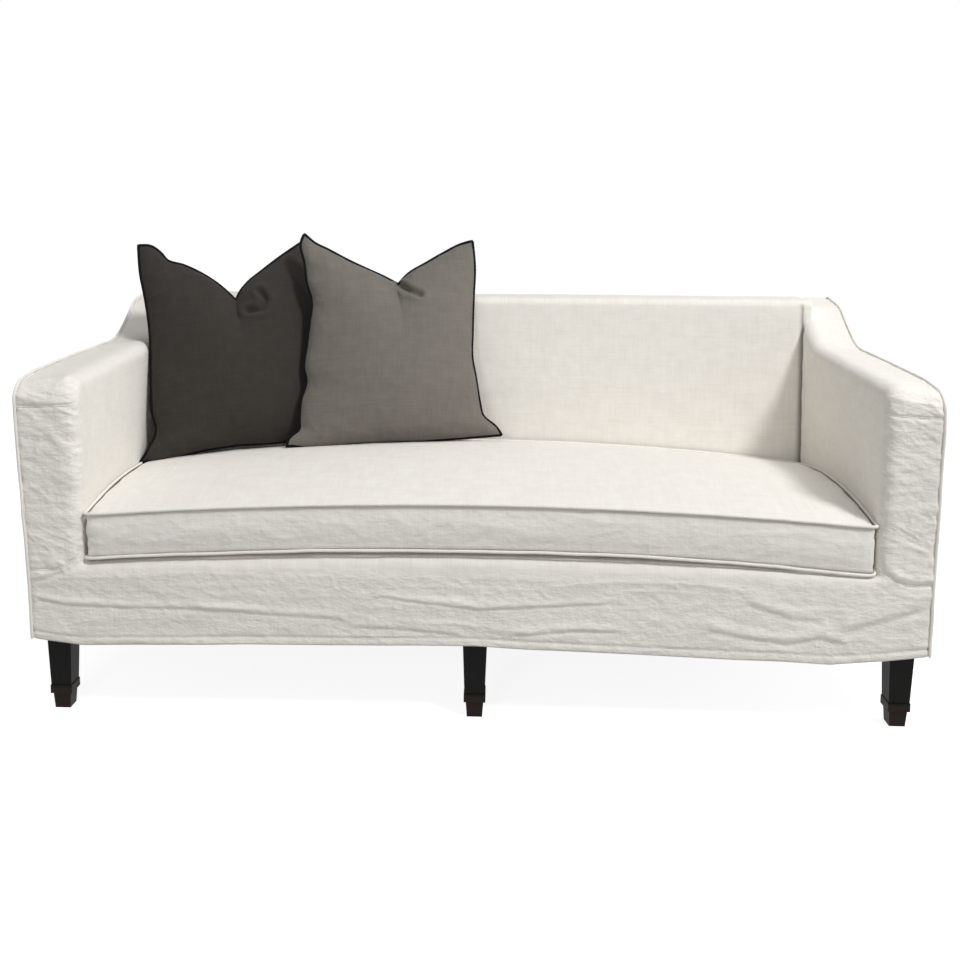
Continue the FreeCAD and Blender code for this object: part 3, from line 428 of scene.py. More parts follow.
# By slot. Cloths: name, colours of pale and dark threads, their pitch, slubs, creases, sheen and
# whether it lies flat. Woods: name, colours of pale and dark grain, its axis, roughness, shine
# and colour of the foot. Metals: name, colour and roughness.
CLOTHS = {
    "linen": ("washed_linen", (245, 242, 236), (235, 230, 222), 0.0011, 0.0003, 0.0034, 0.04),
    "charcoal_cloth": ("charcoal_linen", (58, 54, 50), (49, 46, 42), 0.0013, 0.0003, 0.001, 0.05, True),
    "grey_cloth": ("grey_linen", (122, 117, 110), (109, 104, 98), 0.0013, 0.0003, 0.001, 0.05, True),
    "black_edging": ("black_binding", (12, 12, 13), (7, 7, 8), 0.0009, 0.0001, 0.0003, 0.0),
    "dust_cloth": ("dust_cloth", (40, 39, 38), (30, 29, 28), 0.002, 0.0001, 0.0006, 0.0),
    "burlap": ("burlap", (178, 148, 104), (132, 106, 70), 0.003, 0.0006, 0.001, 0.0),
    "webbing": ("webbing", (196, 178, 146), (120, 92, 66), 0.004, 0.0004, 0.0005, 0.0),
    "zip_tape": ("zip_tape", (226, 222, 212), (206, 201, 190), 0.0008, 0.0001, 0.0002, 0.0),
}
WOODS = {
    "leg_wood": ("ebonised_wood", (9, 7, 6), (4, 3, 3), 2, 0.42, 0.12, (34, 24, 20)),
    "frame_wood": ("frame_beech", (205, 168, 120), (176, 138, 92), 0, 0.6, 0.4),
    "board": ("liner_board", (170, 140, 100), (150, 120, 84), 1, 0.8, 0.3),
}
METALS = {
    "steel": ("spring_steel", (120, 122, 126), 0.35),
    "zip_metal": ("zip_metal", (190, 186, 176), 0.3),
}
KINDS = ((cloth_material, CLOTHS), (wood_material, WOODS), (metal_material, METALS))
LOOKS = {slot: build(*facts) for build, table in KINDS for slot, facts in table.items()}


def dress(piece, slot):
    """Give a piece its slot's material."""
    piece.data.materials.clear()
    piece.data.materials.append(LOOKS[slot])


def hand_over(piece, slot, body, *nodes):
    """Give a new piece its slot and body, and the CAD nodes that it stands for."""
    dress(piece, slot)
    if nodes:
        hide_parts(*nodes)
    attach(piece, body)


# ---- slipcover

PADDING_NODES = ["arm_pad_left", "arm_pad_right", "back_pad", "deck_pad", "front_edge_roll"]
COVER_NODES = sorted(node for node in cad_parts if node.startswith("cover_"))
# How far the washed cover hangs away from the CAD form, measured on the photograph.
ARM_FLARE = {"left": 0.020, "right": 0.004}
WING_DROP = {"left": 0.009, "right": 0.002}
# How far the hem hangs below its CAD height: X and drop of its low and high points.
HEM_PLACES = (-0.97, -0.93, -0.86, -0.5, 0.0, 0.36, 0.6, 0.76, 0.88, 0.97)
HEM_DROPS = (-0.004, 0.002, 0.011, 0.0, -0.004, 0.006, 0.014, 0.020, 0.010, -0.002)
HEM_FOLD = 0.017
# Creases on the front face: half width, height, and X and Z of their points.
FRONT_CREASES = (
    (
        0.005, 0.0026, (-0.951, 0.261), (-0.892, 0.251), (-0.753, 0.247), (-0.598, 0.248),
        (-0.469, 0.243),
    ),
    (0.006, 0.0022, (-0.599, 0.245), (-0.364, 0.233), (-0.295, 0.229)),
    (0.005, 0.0024, (-0.206, 0.281), (-0.073, 0.266), (0.019, 0.257), (0.1, 0.262), (0.307, 0.276)),
    (0.006, 0.002, (-0.271, 0.212), (-0.132, 0.205), (-0.038, 0.194)),
    (0.006, 0.0028, (0.089, 0.201), (0.153, 0.207), (0.216, 0.215), (0.312, 0.215)),
    (0.007, 0.0032, (0.483, 0.227), (0.566, 0.216), (0.667, 0.204), (0.739, 0.218), (0.777, 0.211)),
    (0.012, 0.004, (0.781, 0.223), (0.831, 0.239), (0.894, 0.254), (0.956, 0.275)),
    (0.008, 0.0026, (0.577, 0.281), (0.675, 0.25), (0.738, 0.246)),
    (0.008, 0.0034, (-0.957, 0.304), (-0.923, 0.313), (-0.888, 0.326)),
)
# Seams across the front face, on the right side: X and Z of their points.
ARM_SEAM_LINE = ((0.968, ARM_SEAM), (0.9, ARM_SEAM + 0.002), (INNER_HALF + 0.004, ARM_SEAM + 0.006))
APRON_SEAM_LINE = (
    (0.968, APRON_SEAM), (0.915, APRON_SEAM), (0.889, APRON_SEAM + 0.010),
    (INNER_HALF + 0.002, APRON_SEAM + 0.034),
)
# The drawn-in seam where the back meets each arm.
CORNER_FOOT = 0.42
CORNER_REACH = 0.005
CORNER_DEPTH = 0.012
# How far the cushion's front edge presses the padded edge below it.
CUSHION_DENT = 0.005


def drape(points):
    """Move cover points as the real cover hangs: arms lean outwards and the hem sags."""
    moved = np.array(points, float)
    x, y, z = moved.T
    rise = ramp(z, HEM, ARM_SEAM + 0.06)
    near_front = 1 - ramp(y, FRONT_FACE + 0.25, REAR_FACE - 0.1)
    for side in SIDES:
        sign = SIDE_SIGN[side]
        on_arm = ramp(sign * x, INNER_HALF - 0.01, INNER_HALF + 0.06)
        moved[:, 0] += sign * ARM_FLARE[side] * on_arm * rise * near_front
        outer = ramp(sign * x, INNER_HALF + 0.02, HALF_WIDTH) * ramp(z, ARM_SEAM, ARM_SEAM + 0.05)
        slump = 0.004 + 0.009 * (1 - ramp(y, FRONT_FACE, FRONT_FACE + 0.13))
        slump = slump * (1 - ramp(y, 0.2, 0.34)) + WING_DROP[side] * bell(y, 0.2, 0.07)
        moved[:, 2] -= slump * outer
    drop = np.interp(x, HEM_PLACES, HEM_DROPS) + 0.0012 * lumps(points, (0.11, 0.2, 9.0), 4.0)
    moved[:, 2] -= drop * (1 - ramp(z, HEM, HEM + 0.1))
    return moved


def line_gap(points, line):
    """Return each point's distance in XZ to a line, above it positive and below it negative."""
    flat = np.asarray(points)[:, [0, 2]]
    nearest = np.full(len(flat), np.inf)
    above = np.ones(len(flat))
    for start, end in zip(line, line[1:]):
        start, end = np.array(start), np.array(end)
        run = end - start
        share = np.clip((flat - start) @ run / (run @ run), 0, 1)
        away = flat - start - share[:, None] * run
        gap = np.linalg.norm(away, axis=1)
        closer = gap < nearest
        nearest = np.where(closer, gap, nearest)
        above = np.where(closer, np.sign(away[:, 1]), above)
    return nearest * above


def front_creases(points):
    """Return the heights of the creases that the photograph shows on the apron."""
    height = np.zeros(len(points))
    for width, rise, *line in FRONT_CREASES:
        middle = np.array(line).mean(axis=0)
        reach = np.abs(np.array(line)[:, 0] - middle[0]).max()
        gap = line_gap(points, line)
        fade = 1 - ramp(np.abs(points[:, 0] - middle[0]), 0.75 * reach, 1.1 * reach)
        fold = 1.1 * bell(gap, 1.6 * width, 1.5 * width) - 0.8 * bell(gap, 0, 0.7 * width)
        height += rise * fade * fold
    return height


def seam_tucks(points):
    """Return how the cover is pulled in along the sewn lines of the front and swells above them."""
    height = np.zeros(len(points))
    gathers = 0.6 + 0.4 * lumps(points, (0.02, 0.02, 0.2), 2.0)
    for sign in SIDE_SIGN.values():
        for line, swell in ((ARM_SEAM_LINE, 0.0012), (APRON_SEAM_LINE, 0.0034)):
            mirrored = [(sign * x, z) for x, z in line]
            gap = line_gap(points, mirrored)
            height += swell * bell(gap, 0.013, 0.009) * gathers
            height += 0.4 * swell * bell(gap, -0.02, 0.01)
            height -= 0.0034 * bell(gap, 0, 0.0034)
    return height


def cover_zones(points, normals):
    """Return the shares that say where the arm fronts, the apron and the hanging sides are."""
    x, y, z = points.T
    forward = ramp(-y, -FRONT_FACE - 0.055, -FRONT_FACE - 0.01)
    on_arm = ramp(np.abs(x), INNER_HALF - 0.012, INNER_HALF + 0.012)
    arm_front = forward * on_arm * ramp(z, APRON_SEAM - 0.01, APRON_SEAM + 0.02)
    apron = forward * (1 - ramp(z, APRON_SEAM - 0.01, APRON_SEAM + 0.03))
    outside = ramp(np.abs(normals[:, 0]), 0.7, 0.95)
    outside *= ramp(np.abs(x), HALF_WIDTH - 0.03, HALF_WIDTH - 0.01)
    return arm_front, apron, outside + ramp(normals[:, 1], 0.7, 0.95)


def corner_line(skin):
    """Return the line, going up, where the front of the back meets the inside of the right arm."""
    tree = tree_of(skin)
    turns = [Vector((math.cos(turn), math.sin(turn), 0)) for turn in np.linspace(0.6, 1.5, 40)]
    hits = []
    for z in np.linspace(CORNER_FOOT, BACK_TOP - 0.1, 50):
        start = Vector((INNER_HALF - 0.12, 0.08, z))
        deepest = max((tree.ray_cast(start, turn)[0] for turn in turns), key=lambda hit: hit.x + hit.y)
        hits.append(deepest)
    x, y, z = np.array(hits).T
    ends = np.array([CORNER_FOOT, BACK_TOP])
    straight = [np.polyval(np.polyfit(z, values, 1), ends) for values in (x, y)]
    return np.column_stack([*straight, ends])


def inner_corner(points, line):
    """Return the share that says how near a point is to the corner of the back and an arm."""
    x, y, z = points.T
    side = np.interp(z, line[:, 2], line[:, 0])
    back = np.interp(z, line[:, 2], line[:, 1])
    near = np.exp(-((np.abs(x) - side) ** 2 + (y - back) ** 2) / CORNER_REACH**2)
    return near * ramp(z, CORNER_FOOT, CORNER_FOOT + 0.03)


def cover_heights(points, normals):
    """Return how far each point of the slipcover stands off the CAD form."""
    y = points[:, 1]
    arm_front, apron, hanging = cover_zones(points, normals)
    on_front = ramp(-normals[:, 1], 0.6, 0.9) * ramp(-y, -FRONT_FACE - 0.02, -FRONT_FACE - 0.008)
    leaning = points + np.outer(points[:, 0], (0, 0, 0.5))
    small = crumple(points, (0.036, 0.05, 0.024), 1.3) - 0.35
    slant = crumple(leaning, (0.06, 0.09, 0.022), 3.6) - 0.35
    broad = crumple(points, (0.11, 0.13, 0.06), 5.7) - 0.3
    drag = crumple(points, (0.36, 0.3, 0.05), 2.2) - 0.3
    patches = 0.55 + 0.45 * lumps(points, (0.12, 0.12, 0.09), 7.0)
    soft = lumps(points, (0.22, 0.22, 0.16), 8.0)
    hang = lumps(points, (0.12, 0.12, 0.9), 6.0)
    height = 0.0008 * soft + 0.0004 * small + 0.0005 * broad
    height += arm_front * (patches * (0.0046 * slant + 0.003 * small) + 0.0028 * broad + 0.0014)
    height += apron * (0.0034 * drag + patches * (0.0018 * slant + 0.0015 * small) + 0.0014)
    over_hem = points[:, 2] - HEM
    height += 0.0012 * lumps(points, (0.014, 0.014, 0.1), 12.0) * bell(over_hem, 0.012, 0.012)
    height -= 0.0024 * bell(over_hem, HEM_FOLD, 0.0028)
    height += hanging * (0.0025 * hang + 0.0012 * broad + 0.0018)
    height += on_front * (front_creases(points) + seam_tucks(points))
    return np.maximum(height, -0.0016) - CUSHION_DENT * under_cushion(points)


def under_cushion(points):
    """Return the share that says how near a point is to the low front edge of the seat cushion."""
    tree = tree_of(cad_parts["seat_cushion_low_welt"])
    near = np.zeros(len(points))
    band = (np.abs(points[:, 2] - LOW_SEAM) < 0.03) & (points[:, 1] < FRONT_FACE + 0.12)
    band &= np.abs(points[:, 0]) < INNER_HALF - 0.012
    for i in np.flatnonzero(band):
        near[i] = bell(tree.find_nearest(Vector(points[i]))[3], 0, 0.008)
    return near


def side_box(front, rear, low, high):
    """Return a rectangle in the YZ plane."""
    return (front, low), (front, high), (rear, high), (rear, low)


# Blocks that fill the hollow between the cover panels: a closed YZ outline between two X ends.
BASE_BLOCK = side_box(FRONT_FACE, REAR_FACE, HEM - 0.06, HEM + 0.13)
SEAT_BLOCK = side_box(FRONT_FACE + 0.015, 0.25, HEM + 0.1, HEM + 0.155)
ARM_BLOCK = (
    (FRONT_FACE + 0.015, HEM + 0.1), (FRONT_FACE + 0.015, 0.735), (0.14, 0.758), (0.295, 0.845),
    (REAR_FACE - 0.015, 0.866), (REAR_FACE - 0.015, HEM + 0.1),
)
BACK_BLOCK = (
    (0.222, HEM + 0.1), (0.264, BACK_TOP - 0.014), (REAR_FACE - 0.01, BACK_TOP - 0.014),
    (REAR_FACE - 0.01, HEM + 0.1),
)
FILLERS = (
    (-HALF_WIDTH, HALF_WIDTH, BASE_BLOCK),
    (-HALF_WIDTH + 0.01, HALF_WIDTH - 0.01, SEAT_BLOCK),
    (INNER_HALF + 0.01, HALF_WIDTH - 0.006, ARM_BLOCK),
    (0.006 - HALF_WIDTH, -INNER_HALF - 0.01, ARM_BLOCK),
    (-INNER_HALF - 0.03, INNER_HALF + 0.03, BACK_BLOCK),
)


def cover_skin():
    """Return the slipcover's outer skin, remeshed evenly from its CAD panels."""
    skin = joined("slipcover", COVER_NODES + PADDING_NODES)
    for low, high, outline in FILLERS:
        add_part(skin, *side_prism(outline, low, high))
    voxel_remesh(skin, BODY_VOXEL)
    keep_largest(skin)
    return skin


def open_hem(skin):
    """Cut the skin off at the hem and turn a narrow rim inwards."""
    made = bmesh.new()
    made.from_mesh(skin.data)
    everything = made.verts[:] + made.edges[:] + made.faces[:]
    bmesh.ops.bisect_plane(
        made, geom=everything, plane_co=(0, 0, HEM), plane_no=(0, 0, 1), clear_inner=True
    )
    rim = [edge for edge in made.edges if edge.is_boundary]
    for inward, upward in ((0.003, 0.0), (0.0, 0.03)):
        grown = bmesh.ops.extrude_edge_only(made, edges=rim)["geom"]
        for vert in (item for item in grown if isinstance(item, bmesh.types.BMVert)):
            for axis, face in enumerate((HALF_WIDTH, REAR_FACE)):
                if abs(vert.co[axis]) > face - 0.02:
                    vert.co[axis] -= math.copysign(inward, vert.co[axis])
            vert.co.z += upward
        rim = [item for item in grown if isinstance(item, bmesh.types.BMEdge)]
    made.to_mesh(skin.data)
    made.free()


def refine(skin, corner):
    """Halve the faces of the fronts and of the back's corners, where the finest creases show."""
    made = bmesh.new()
    made.from_mesh(skin.data)
    points = points_of(skin)
    fine = (points[:, 1] < FRONT_FACE + 0.05) | (inner_corner(points, corner) > 0.005)
    edges = [edge for edge in made.edges if all(fine[v.index] for v in edge.verts)]
    bmesh.ops.subdivide_edges(made, edges=edges, cuts=1, use_grid_fill=True, smooth=0.0)
    made.to_mesh(skin.data)
    made.free()


def relax(piece, rounds, amount):
    """Smooth a mesh a little."""
    modifier = piece.modifiers.new("relax", "SMOOTH")
    modifier.iterations = rounds
    modifier.factor = amount
    apply_modifiers(piece)


def mark(piece, name, values):
    """Store a value for each point of a piece, for its material to read."""
    values = np.asarray(values, float)
    kind = "FLOAT_VECTOR" if values.ndim == 2 else "FLOAT"
    layer = piece.data.attributes.new(name, kind, "POINT")
    layer.data.foreach_set("vector" if values.ndim == 2 else "value", values.ravel())


def make_slipcover():
    """Build the whole sewn slipcover as one wrinkled skin."""
    skin = cover_skin()
    relax(skin, 3, 0.4)
    open_hem(skin)
    corner = corner_line(skin)
    refine(skin, corner)
    points = points_of(skin)
    normals = normals_of(skin)
    arm_front, apron, hanging = cover_zones(points, normals)
    mark(skin, "crinkle", np.clip(0.15 + arm_front + 0.8 * apron + 0.3 * hanging, 0, 1))
    height = cover_heights(points, normals)
    height *= ramp(points[:, 2], HEM - 0.002, HEM + 0.004)
    inwards = np.column_stack([np.sign(points[:, 0]), np.ones(len(points)), np.zeros(len(points))])
    in_corner = inner_corner(points, corner)
    # Painted shade, stored as seam: darker cloth in the corner of the back and each arm, and on the
    # apron under the cushion's front edge.
    mark(skin, "seam", np.clip(in_corner + 0.7 * under_cushion(points), 0, 1))
    draw = CORNER_DEPTH * in_corner
    points = points + normals * height[:, None] + inwards * draw[:, None]
    move_points(skin, drape(points))
    smooth(skin)
    hand_over(skin, "linen", "root", *COVER_NODES, *PADDING_NODES)
    return skin


def make_front_seam(skin_tree, name, side, line):
    """Lay the thin raised edge of a sewn seam along the front face."""
    path = [(SIDE_SIGN[side] * x, FRONT_FACE - 0.1, z) for x, z in line]
    path = drape(evenly(path, SEAM_STEP))
    laid = []
    for point in path:
        hit = skin_tree.ray_cast(Vector(point), Vector((0, 1, 0)))[0]
        laid.append((hit.x, hit.y - 0.0002, hit.z))
    cord_piece(f"{name}_{side}", np.array(laid), SEAM_RADIUS, False, "linen", "root")


# ---- cords


def cord_piece(name, path, radius, closed, slot, body, *nodes):
    """Build a round sewn cord along a path, in place of CAD nodes if any."""
    curve = bpy.data.curves.new(name, "CURVE")
    curve.dimensions = "3D"
    curve.bevel_depth = radius
    curve.bevel_resolution = 3
    curve.use_fill_caps = True
    line = curve.splines.new("POLY")
    line.points.add(len(path) - 1)
    line.points.foreach_set("co", np.column_stack([path, np.ones(len(path))]).ravel())
    line.use_cyclic_u = closed
    drawn = new_object(name + "_line", curve)
    graph = bpy.context.evaluated_depsgraph_get()
    mesh = bpy.data.meshes.new_from_object(drawn.evaluated_get(graph))
    bpy.data.objects.remove(drawn)
    piece = new_object(name, mesh)
    smooth(piece)
    hand_over(piece, slot, body, *nodes)


def evenly(path, step, closed=False):
    """Return a path's points again, spaced evenly."""
    path = np.asarray(path, float)
    if closed:
        path = np.vstack([path, path[:1]])
    lengths = np.r_[0, np.cumsum(np.linalg.norm(np.diff(path, axis=0), axis=1))]
    count = max(2, int(round(lengths[-1] / step)) + 1)
    places = np.linspace(0, lengths[-1], count)
    even = np.column_stack([np.interp(places, lengths, path[:, k]) for k in range(3)])
    return even[:-1] if closed else even


def arm_outline(side):
    """Return the arm plate's edge from below its front corner, over the scoop, to the rear."""
    node = "cover_arm_outside_" + side
    low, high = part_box(node)
    middle = (low + high) / 2
    below_front = math.atan2(low.z - middle.z, FRONT_FACE) % (2 * math.pi)
    below_rear = math.atan2(low.z - middle.z, REAR_FACE)
    tree = tree_of(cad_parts[node])
    path = []
    for angle in np.linspace(below_front, below_rear, PIPING_POINTS):
        out = Vector((0, math.cos(angle), math.sin(angle)))
        path.append(tree.ray_cast(middle + out * 2, -out)[0])
    return np.array(path)


def make_arm_piping(side):
    """Run the sewn cord up the arm's front corner, over its scoop and down the rear corner."""
    path = evenly(arm_outline(side), PIPING_STEP)
    path[:, 0] = SIDE_SIGN[side] * (HALF_WIDTH + 0.001)
    wobble = 0.0012 * lumps(path, (0.09, 0.09, 0.05), 3.0)
    path[:, 0] += SIDE_SIGN[side] * wobble
    path[:, 1] -= 0.001 * ramp(-path[:, 1], -FRONT_FACE - 0.02, -FRONT_FACE)
    path = drape(path)
    name = "arm_piping_cord_" + side
    cord_piece(name, path, PIPING_RADIUS, False, "linen", "root", "arm_piping_" + side)


# ---- cloth sheets of the frame


def make_frame_sheet(name, node, slot, sag):
    """Stretch a cloth over the frame, held by its edges and a little slack between."""
    low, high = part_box(node)
    wide, deep = high.x - low.x, high.y - low.y
    across_steps, along_steps = 96, 40
    grid = np.linspace(0, 1, across_steps + 1), np.linspace(0, 1, along_steps + 1)
    s, t = (share.ravel() for share in np.meshgrid(*grid, indexing="ij"))
    level = np.full(len(s), (low.z + high.z) / 2)
    points = np.column_stack([low.x + wide * s, low.y + deep * t, level])
    slack = (np.sin(math.pi * s) * np.sin(math.pi * t)) ** 0.5
    points[:, 2] -= sag * slack * (0.7 + 0.3 * lumps(points, (0.4, 0.3, 1.0), 18.0))
    points[:, 2] -= 0.25 * sag * slack * crumple(points, (0.3, 0.12, 1.0), 19.0)
    faces = []
    for i in range(across_steps):
        for j in range(along_steps):
            first = i * (along_steps + 1) + j
            faces.append((first, first + 1, first + along_steps + 2, first + along_steps + 1))
    piece = mesh_of(name, points, faces)
    thicken = piece.modifiers.new("thicken", "SOLIDIFY")
    thicken.thickness = SHEET_THICKNESS
    apply_modifiers(piece)
    mark(piece, "crinkle", np.full(len(piece.data.vertices), 0.4))
    hand_over(piece, slot, "root", node)


# ---- seat cushion


def simulate(piece, pinned, cap):
    """Swell a cloth piece from inside, holding its seams, and cap how far its skin moves."""
    rest = points_of(piece)
    group = piece.vertex_groups.new(name="seams")
    group.add([int(i) for i in np.flatnonzero(pinned)], 1.0, "REPLACE")
    cloth = piece.modifiers.new("cloth", "CLOTH")
    cloth.settings.use_pressure = True
    cloth.settings.uniform_pressure_force = CLOTH_PRESSURE
    cloth.settings.vertex_group_mass = "seams"
    cloth.settings.effector_weights.gravity = 0
    cloth.settings.quality = 5
    scene = bpy.context.scene
    for step in range(1, CLOTH_FRAMES + 1):
        scene.frame_set(step)
    apply_modifiers(piece)
    scene.frame_set(1)
    moved = points_of(piece)
    step = moved - rest
    length = np.linalg.norm(step, axis=1)
    share = np.minimum(1, cap / np.maximum(length, 1e-9))
    move_points(piece, rest + step * share[:, None])


def subdivide(piece):
    """Divide each face of a piece once, smoothly."""
    modifier = piece.modifiers.new("subdivide", "SUBSURF")
    modifier.levels = modifier.render_levels = 1
    apply_modifiers(piece)


def settled(points):
    """Move cushion points as the stuffed cushion lies: out at its front corners, low at its right."""
    moved = np.array(points, float)
    x, y, z = moved.T
    forward = ramp(-y, 0.40, 0.432)
    moved[:, 0] += 0.008 * np.sign(x) * ramp(np.abs(x), 0.8, 0.85) * forward
    low = 1 - ramp(z, LOW_SEAM + 0.01, LOW_SEAM + 0.07)
    moved[:, 2] -= 0.008 * ramp(x, 0.35, 0.85) * forward * low
    return moved


CUSHION_SEAMS = ("seat_cushion_top_welt", "seat_cushion_low_welt", "seat_cushion_zip")
# How far the cover sinks under the zip tape, and how far it may swell, held near its seams.
ZIP_BED = 0.004
CUSHION_SWELL = 0.006
SEAM_HOLD = 0.008


def seam_gaps(points):
    """Return each point's distance to the upper cord, lower cord and zip, and its nearest cord spot."""
    trees = [tree_of(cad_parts[node]) for node in CUSHION_SEAMS]
    found = [[tree.find_nearest(Vector(p)) for tree in trees] for p in points]
    gaps = np.array([[hit[3] for hit in row] for row in found])
    return gaps, np.array([min(row[:2], key=lambda hit: hit[3])[0] for row in found])


def make_cushion():
    """Build the seat cushion: swelling panels between two corded seams."""
    cushion = joined("seat_cushion_form", ["seat_cushion_cover", "seat_cushion_core"])
    voxel_remesh(cushion, CUSHION_VOXEL)
    keep_largest(cushion)
    held = seam_gaps(points_of(cushion))[0].min(axis=1) < SEAM_HOLD
    simulate(cushion, held, CUSHION_SWELL)
    subdivide(cushion)
    points = points_of(cushion)
    gaps, cord_spots = seam_gaps(points)
    to_cord = gaps[:, :2].min(axis=1)
    normals = normals_of(cushion)
    free = ramp(gaps.min(axis=1), 0.004, 0.03)
    sunk = ZIP_BED * (1 - ramp(gaps[:, 2], 0.003, 0.014))
    boxing = 1 - ramp(np.abs(normals[:, 2]), 0.3, 0.8)
    small = crumple(points, (0.07, 0.07, 0.02), 11.0) - 0.35
    broad = crumple(points, (0.25, 0.2, 0.1), 13.0) - 0.3
    height = 0.0012 * broad + 0.0005 * small + boxing * (0.0022 * small + 0.0022 * broad)
    points = points + normals * (height * free - sunk)[:, None]
    points += (cord_spots - points) * (0.7 * (1 - ramp(to_cord, 0.002, 0.014)))[:, None]
    move_points(cushion, settled(points))
    mark(cushion, "crinkle", 0.15 + 0.55 * boxing)
    # Painted shade, stored as seam: a thin darker line beside each cord on the cushion's sides.
    mark(cushion, "seam", 0.6 * bell(to_cord, 0.003, 0.004) * boxing)
    smooth(cushion)
    hand_over(cushion, "linen", "seat_cushion", "seat_cushion_cover", "seat_cushion_core")
    return cushion


# Spots along a cord's line, and how far round the cushion each is a mean of, in radians.
WELT_POINTS = 720
WELT_REACH = 0.02


def welt_line(node):
    """Return the middle line of a CAD cord that runs round the cushion."""
    low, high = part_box(node)
    middle = (low + high) / 2
    half = (high - low) / 2
    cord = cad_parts[node]
    points = points_of(cord) - WELT_RADIUS * normals_of(cord)
    angles = np.arctan2((points[:, 1] - middle.y) / half.y, (points[:, 0] - middle.x) / half.x)
    order = np.argsort(angles)
    turns = np.concatenate([angles[order] - 2 * math.pi, angles[order], angles[order] + 2 * math.pi])
    rings = np.vstack([points[order]] * 3)
    sums = np.vstack([np.zeros(3), np.cumsum(rings, axis=0)])
    line = []
    for angle in np.linspace(-math.pi, math.pi, WELT_POINTS, endpoint=False):
        first, last = np.searchsorted(turns, (angle - WELT_REACH, angle + WELT_REACH))
        if last > first:
            line.append((sums[last] - sums[first]) / (last - first))
    return softened(evenly(line, CORD_STEP, True), 3)


def softened(line, rounds):
    """Return a closed line with its small kinks smoothed out."""
    for _ in range(rounds):
        line = 0.5 * line + 0.25 * (np.roll(line, 1, axis=0) + np.roll(line, -1, axis=0))
    return line


def make_welt(level):
    """Run the sewn cord round the cushion's upper or lower seam."""
    node = f"seat_cushion_{level}_welt"
    line = settled(welt_line(node))
    if level == "low":
        line[:, 2] += 0.0012 * lumps(line, (0.07, 0.2, 0.3), 15.0)
    name = f"seat_{level}_welt_cord"
    cord_piece(name, line, WELT_RADIUS, True, "linen", "seat_cushion", node)


# ---- pillows

# Each side of a pillow's outline and its fold, as points in the pillow's own plane, in
# millimetres: across from its middle and up from its foot. The sides go up, the foot and the
# top go to the right.
PILLOWS = {
    "dark_pillow": {
        "turn": 18.0,
        "tilt": -5.0,
        "offset": (-0.582, 0.068, 0.5099),
        "slot": "charcoal_cloth",
        "left": (
            (-293, -8), (-268, 26), (-246, 62), (-249, 115), (-243, 200), (-232, 320), (-233, 410),
            (-238, 480), (-235, 557),
        ),
        "right": ((277, 0), (248, 45), (238, 110), (222, 250), (212, 400), (213, 541)),
        "foot": (
            (-293, -8), (-251, -14), (-193, -4), (-125, 3), (-43, 4), (39, -2), (150, -4), (277, 0),
        ),
        "top_left": (
            (-235, 557), (-205, 553), (-180, 531), (-167, 511), (-128, 494), (-80, 464), (-39, 428),
            (-4, 386),
        ),
        "top_right": ((-4, 386), (10, 408), (34, 432), (71, 457), (121, 489), (213, 541)),
        "fold": ((58, 394), (68, 368), (52, 342), (20, 344)),
    },
    "grey_pillow": {
        "turn": 13.0,
        "tilt": 0.5,
        "offset": (-0.214, 0.074, 0.5218),
        "slot": "grey_cloth",
        "left": (
            (-285, -9), (-280, 10), (-251, 36), (-250, 62), (-246, 106), (-231, 165), (-236, 192),
            (-229, 250), (-219, 320), (-214, 374), (-226, 420), (-232, 475), (-241, 529),
            (-232, 554),
        ),
        "right": (
            (277, 10), (264, 30), (228, 64), (221, 100), (214, 160), (206, 220), (210, 290),
            (216, 374), (224, 471), (221, 540),
        ),
        "foot": ((-285, -9), (-215, -12), (-78, -5), (62, -1), (205, 6), (277, 10)),
        "top_left": (
            (-232, 554), (-206, 530), (-171, 512), (-112, 480), (-66, 458), (-23, 438), (14, 418),
        ),
        "top_right": ((14, 418), (41, 446), (90, 476), (138, 504), (191, 531), (221, 540)),
        "fold": ((18, 412), (38, 392), (64, 378)),
    },
}
PILLOW_LEAN = 17.0
PILLOW_CELLS = 72
# How far a pillow's full front and rear stand off its seam, half its thickness there, and how
# far it may swell beyond.
PILLOW_FRONT = 0.086
PILLOW_REAR = 0.034
PILLOW_EDGE = 0.001
PILLOW_SWELL = 0.010
# How far the pillows stay above the seat cushion.
SEAT_GAP = 0.001


def smooth_line(points, shares):
    """Return the places at shares of the way along a smooth line through millimetre points."""
    points = np.array(points) / 1000
    lengths = np.r_[0, np.cumsum(np.linalg.norm(np.diff(points, axis=0), axis=1))]
    slopes = np.gradient(points, lengths, axis=0)
    places = np.asarray(shares) * lengths[-1]
    index = np.clip(np.searchsorted(lengths, places, side="right") - 1, 0, len(points) - 2)
    run = (lengths[index + 1] - lengths[index])[:, None]
    t = (places - lengths[index])[:, None] / run
    start, end = points[index], points[index + 1]
    line = (2 * t**3 - 3 * t**2 + 1) * start + (3 * t**2 - 2 * t**3) * end
    return line + (t**3 - 2 * t**2 + t) * run * slopes[index] + (t**3 - t**2) * run * slopes[index + 1]


def pillow_frame(facts):
    """Return the matrix that stands a flat pillow where its CAD seam is."""
    pose = Matrix.Rotation(math.radians(facts["turn"]), 4, "Z")
    pose = pose @ Matrix.Rotation(math.radians(-PILLOW_LEAN), 4, "X")
    pose = pose @ Matrix.Rotation(math.radians(facts["tilt"]), 4, "Y")
    return Matrix.Translation(Vector(facts["offset"])) @ pose


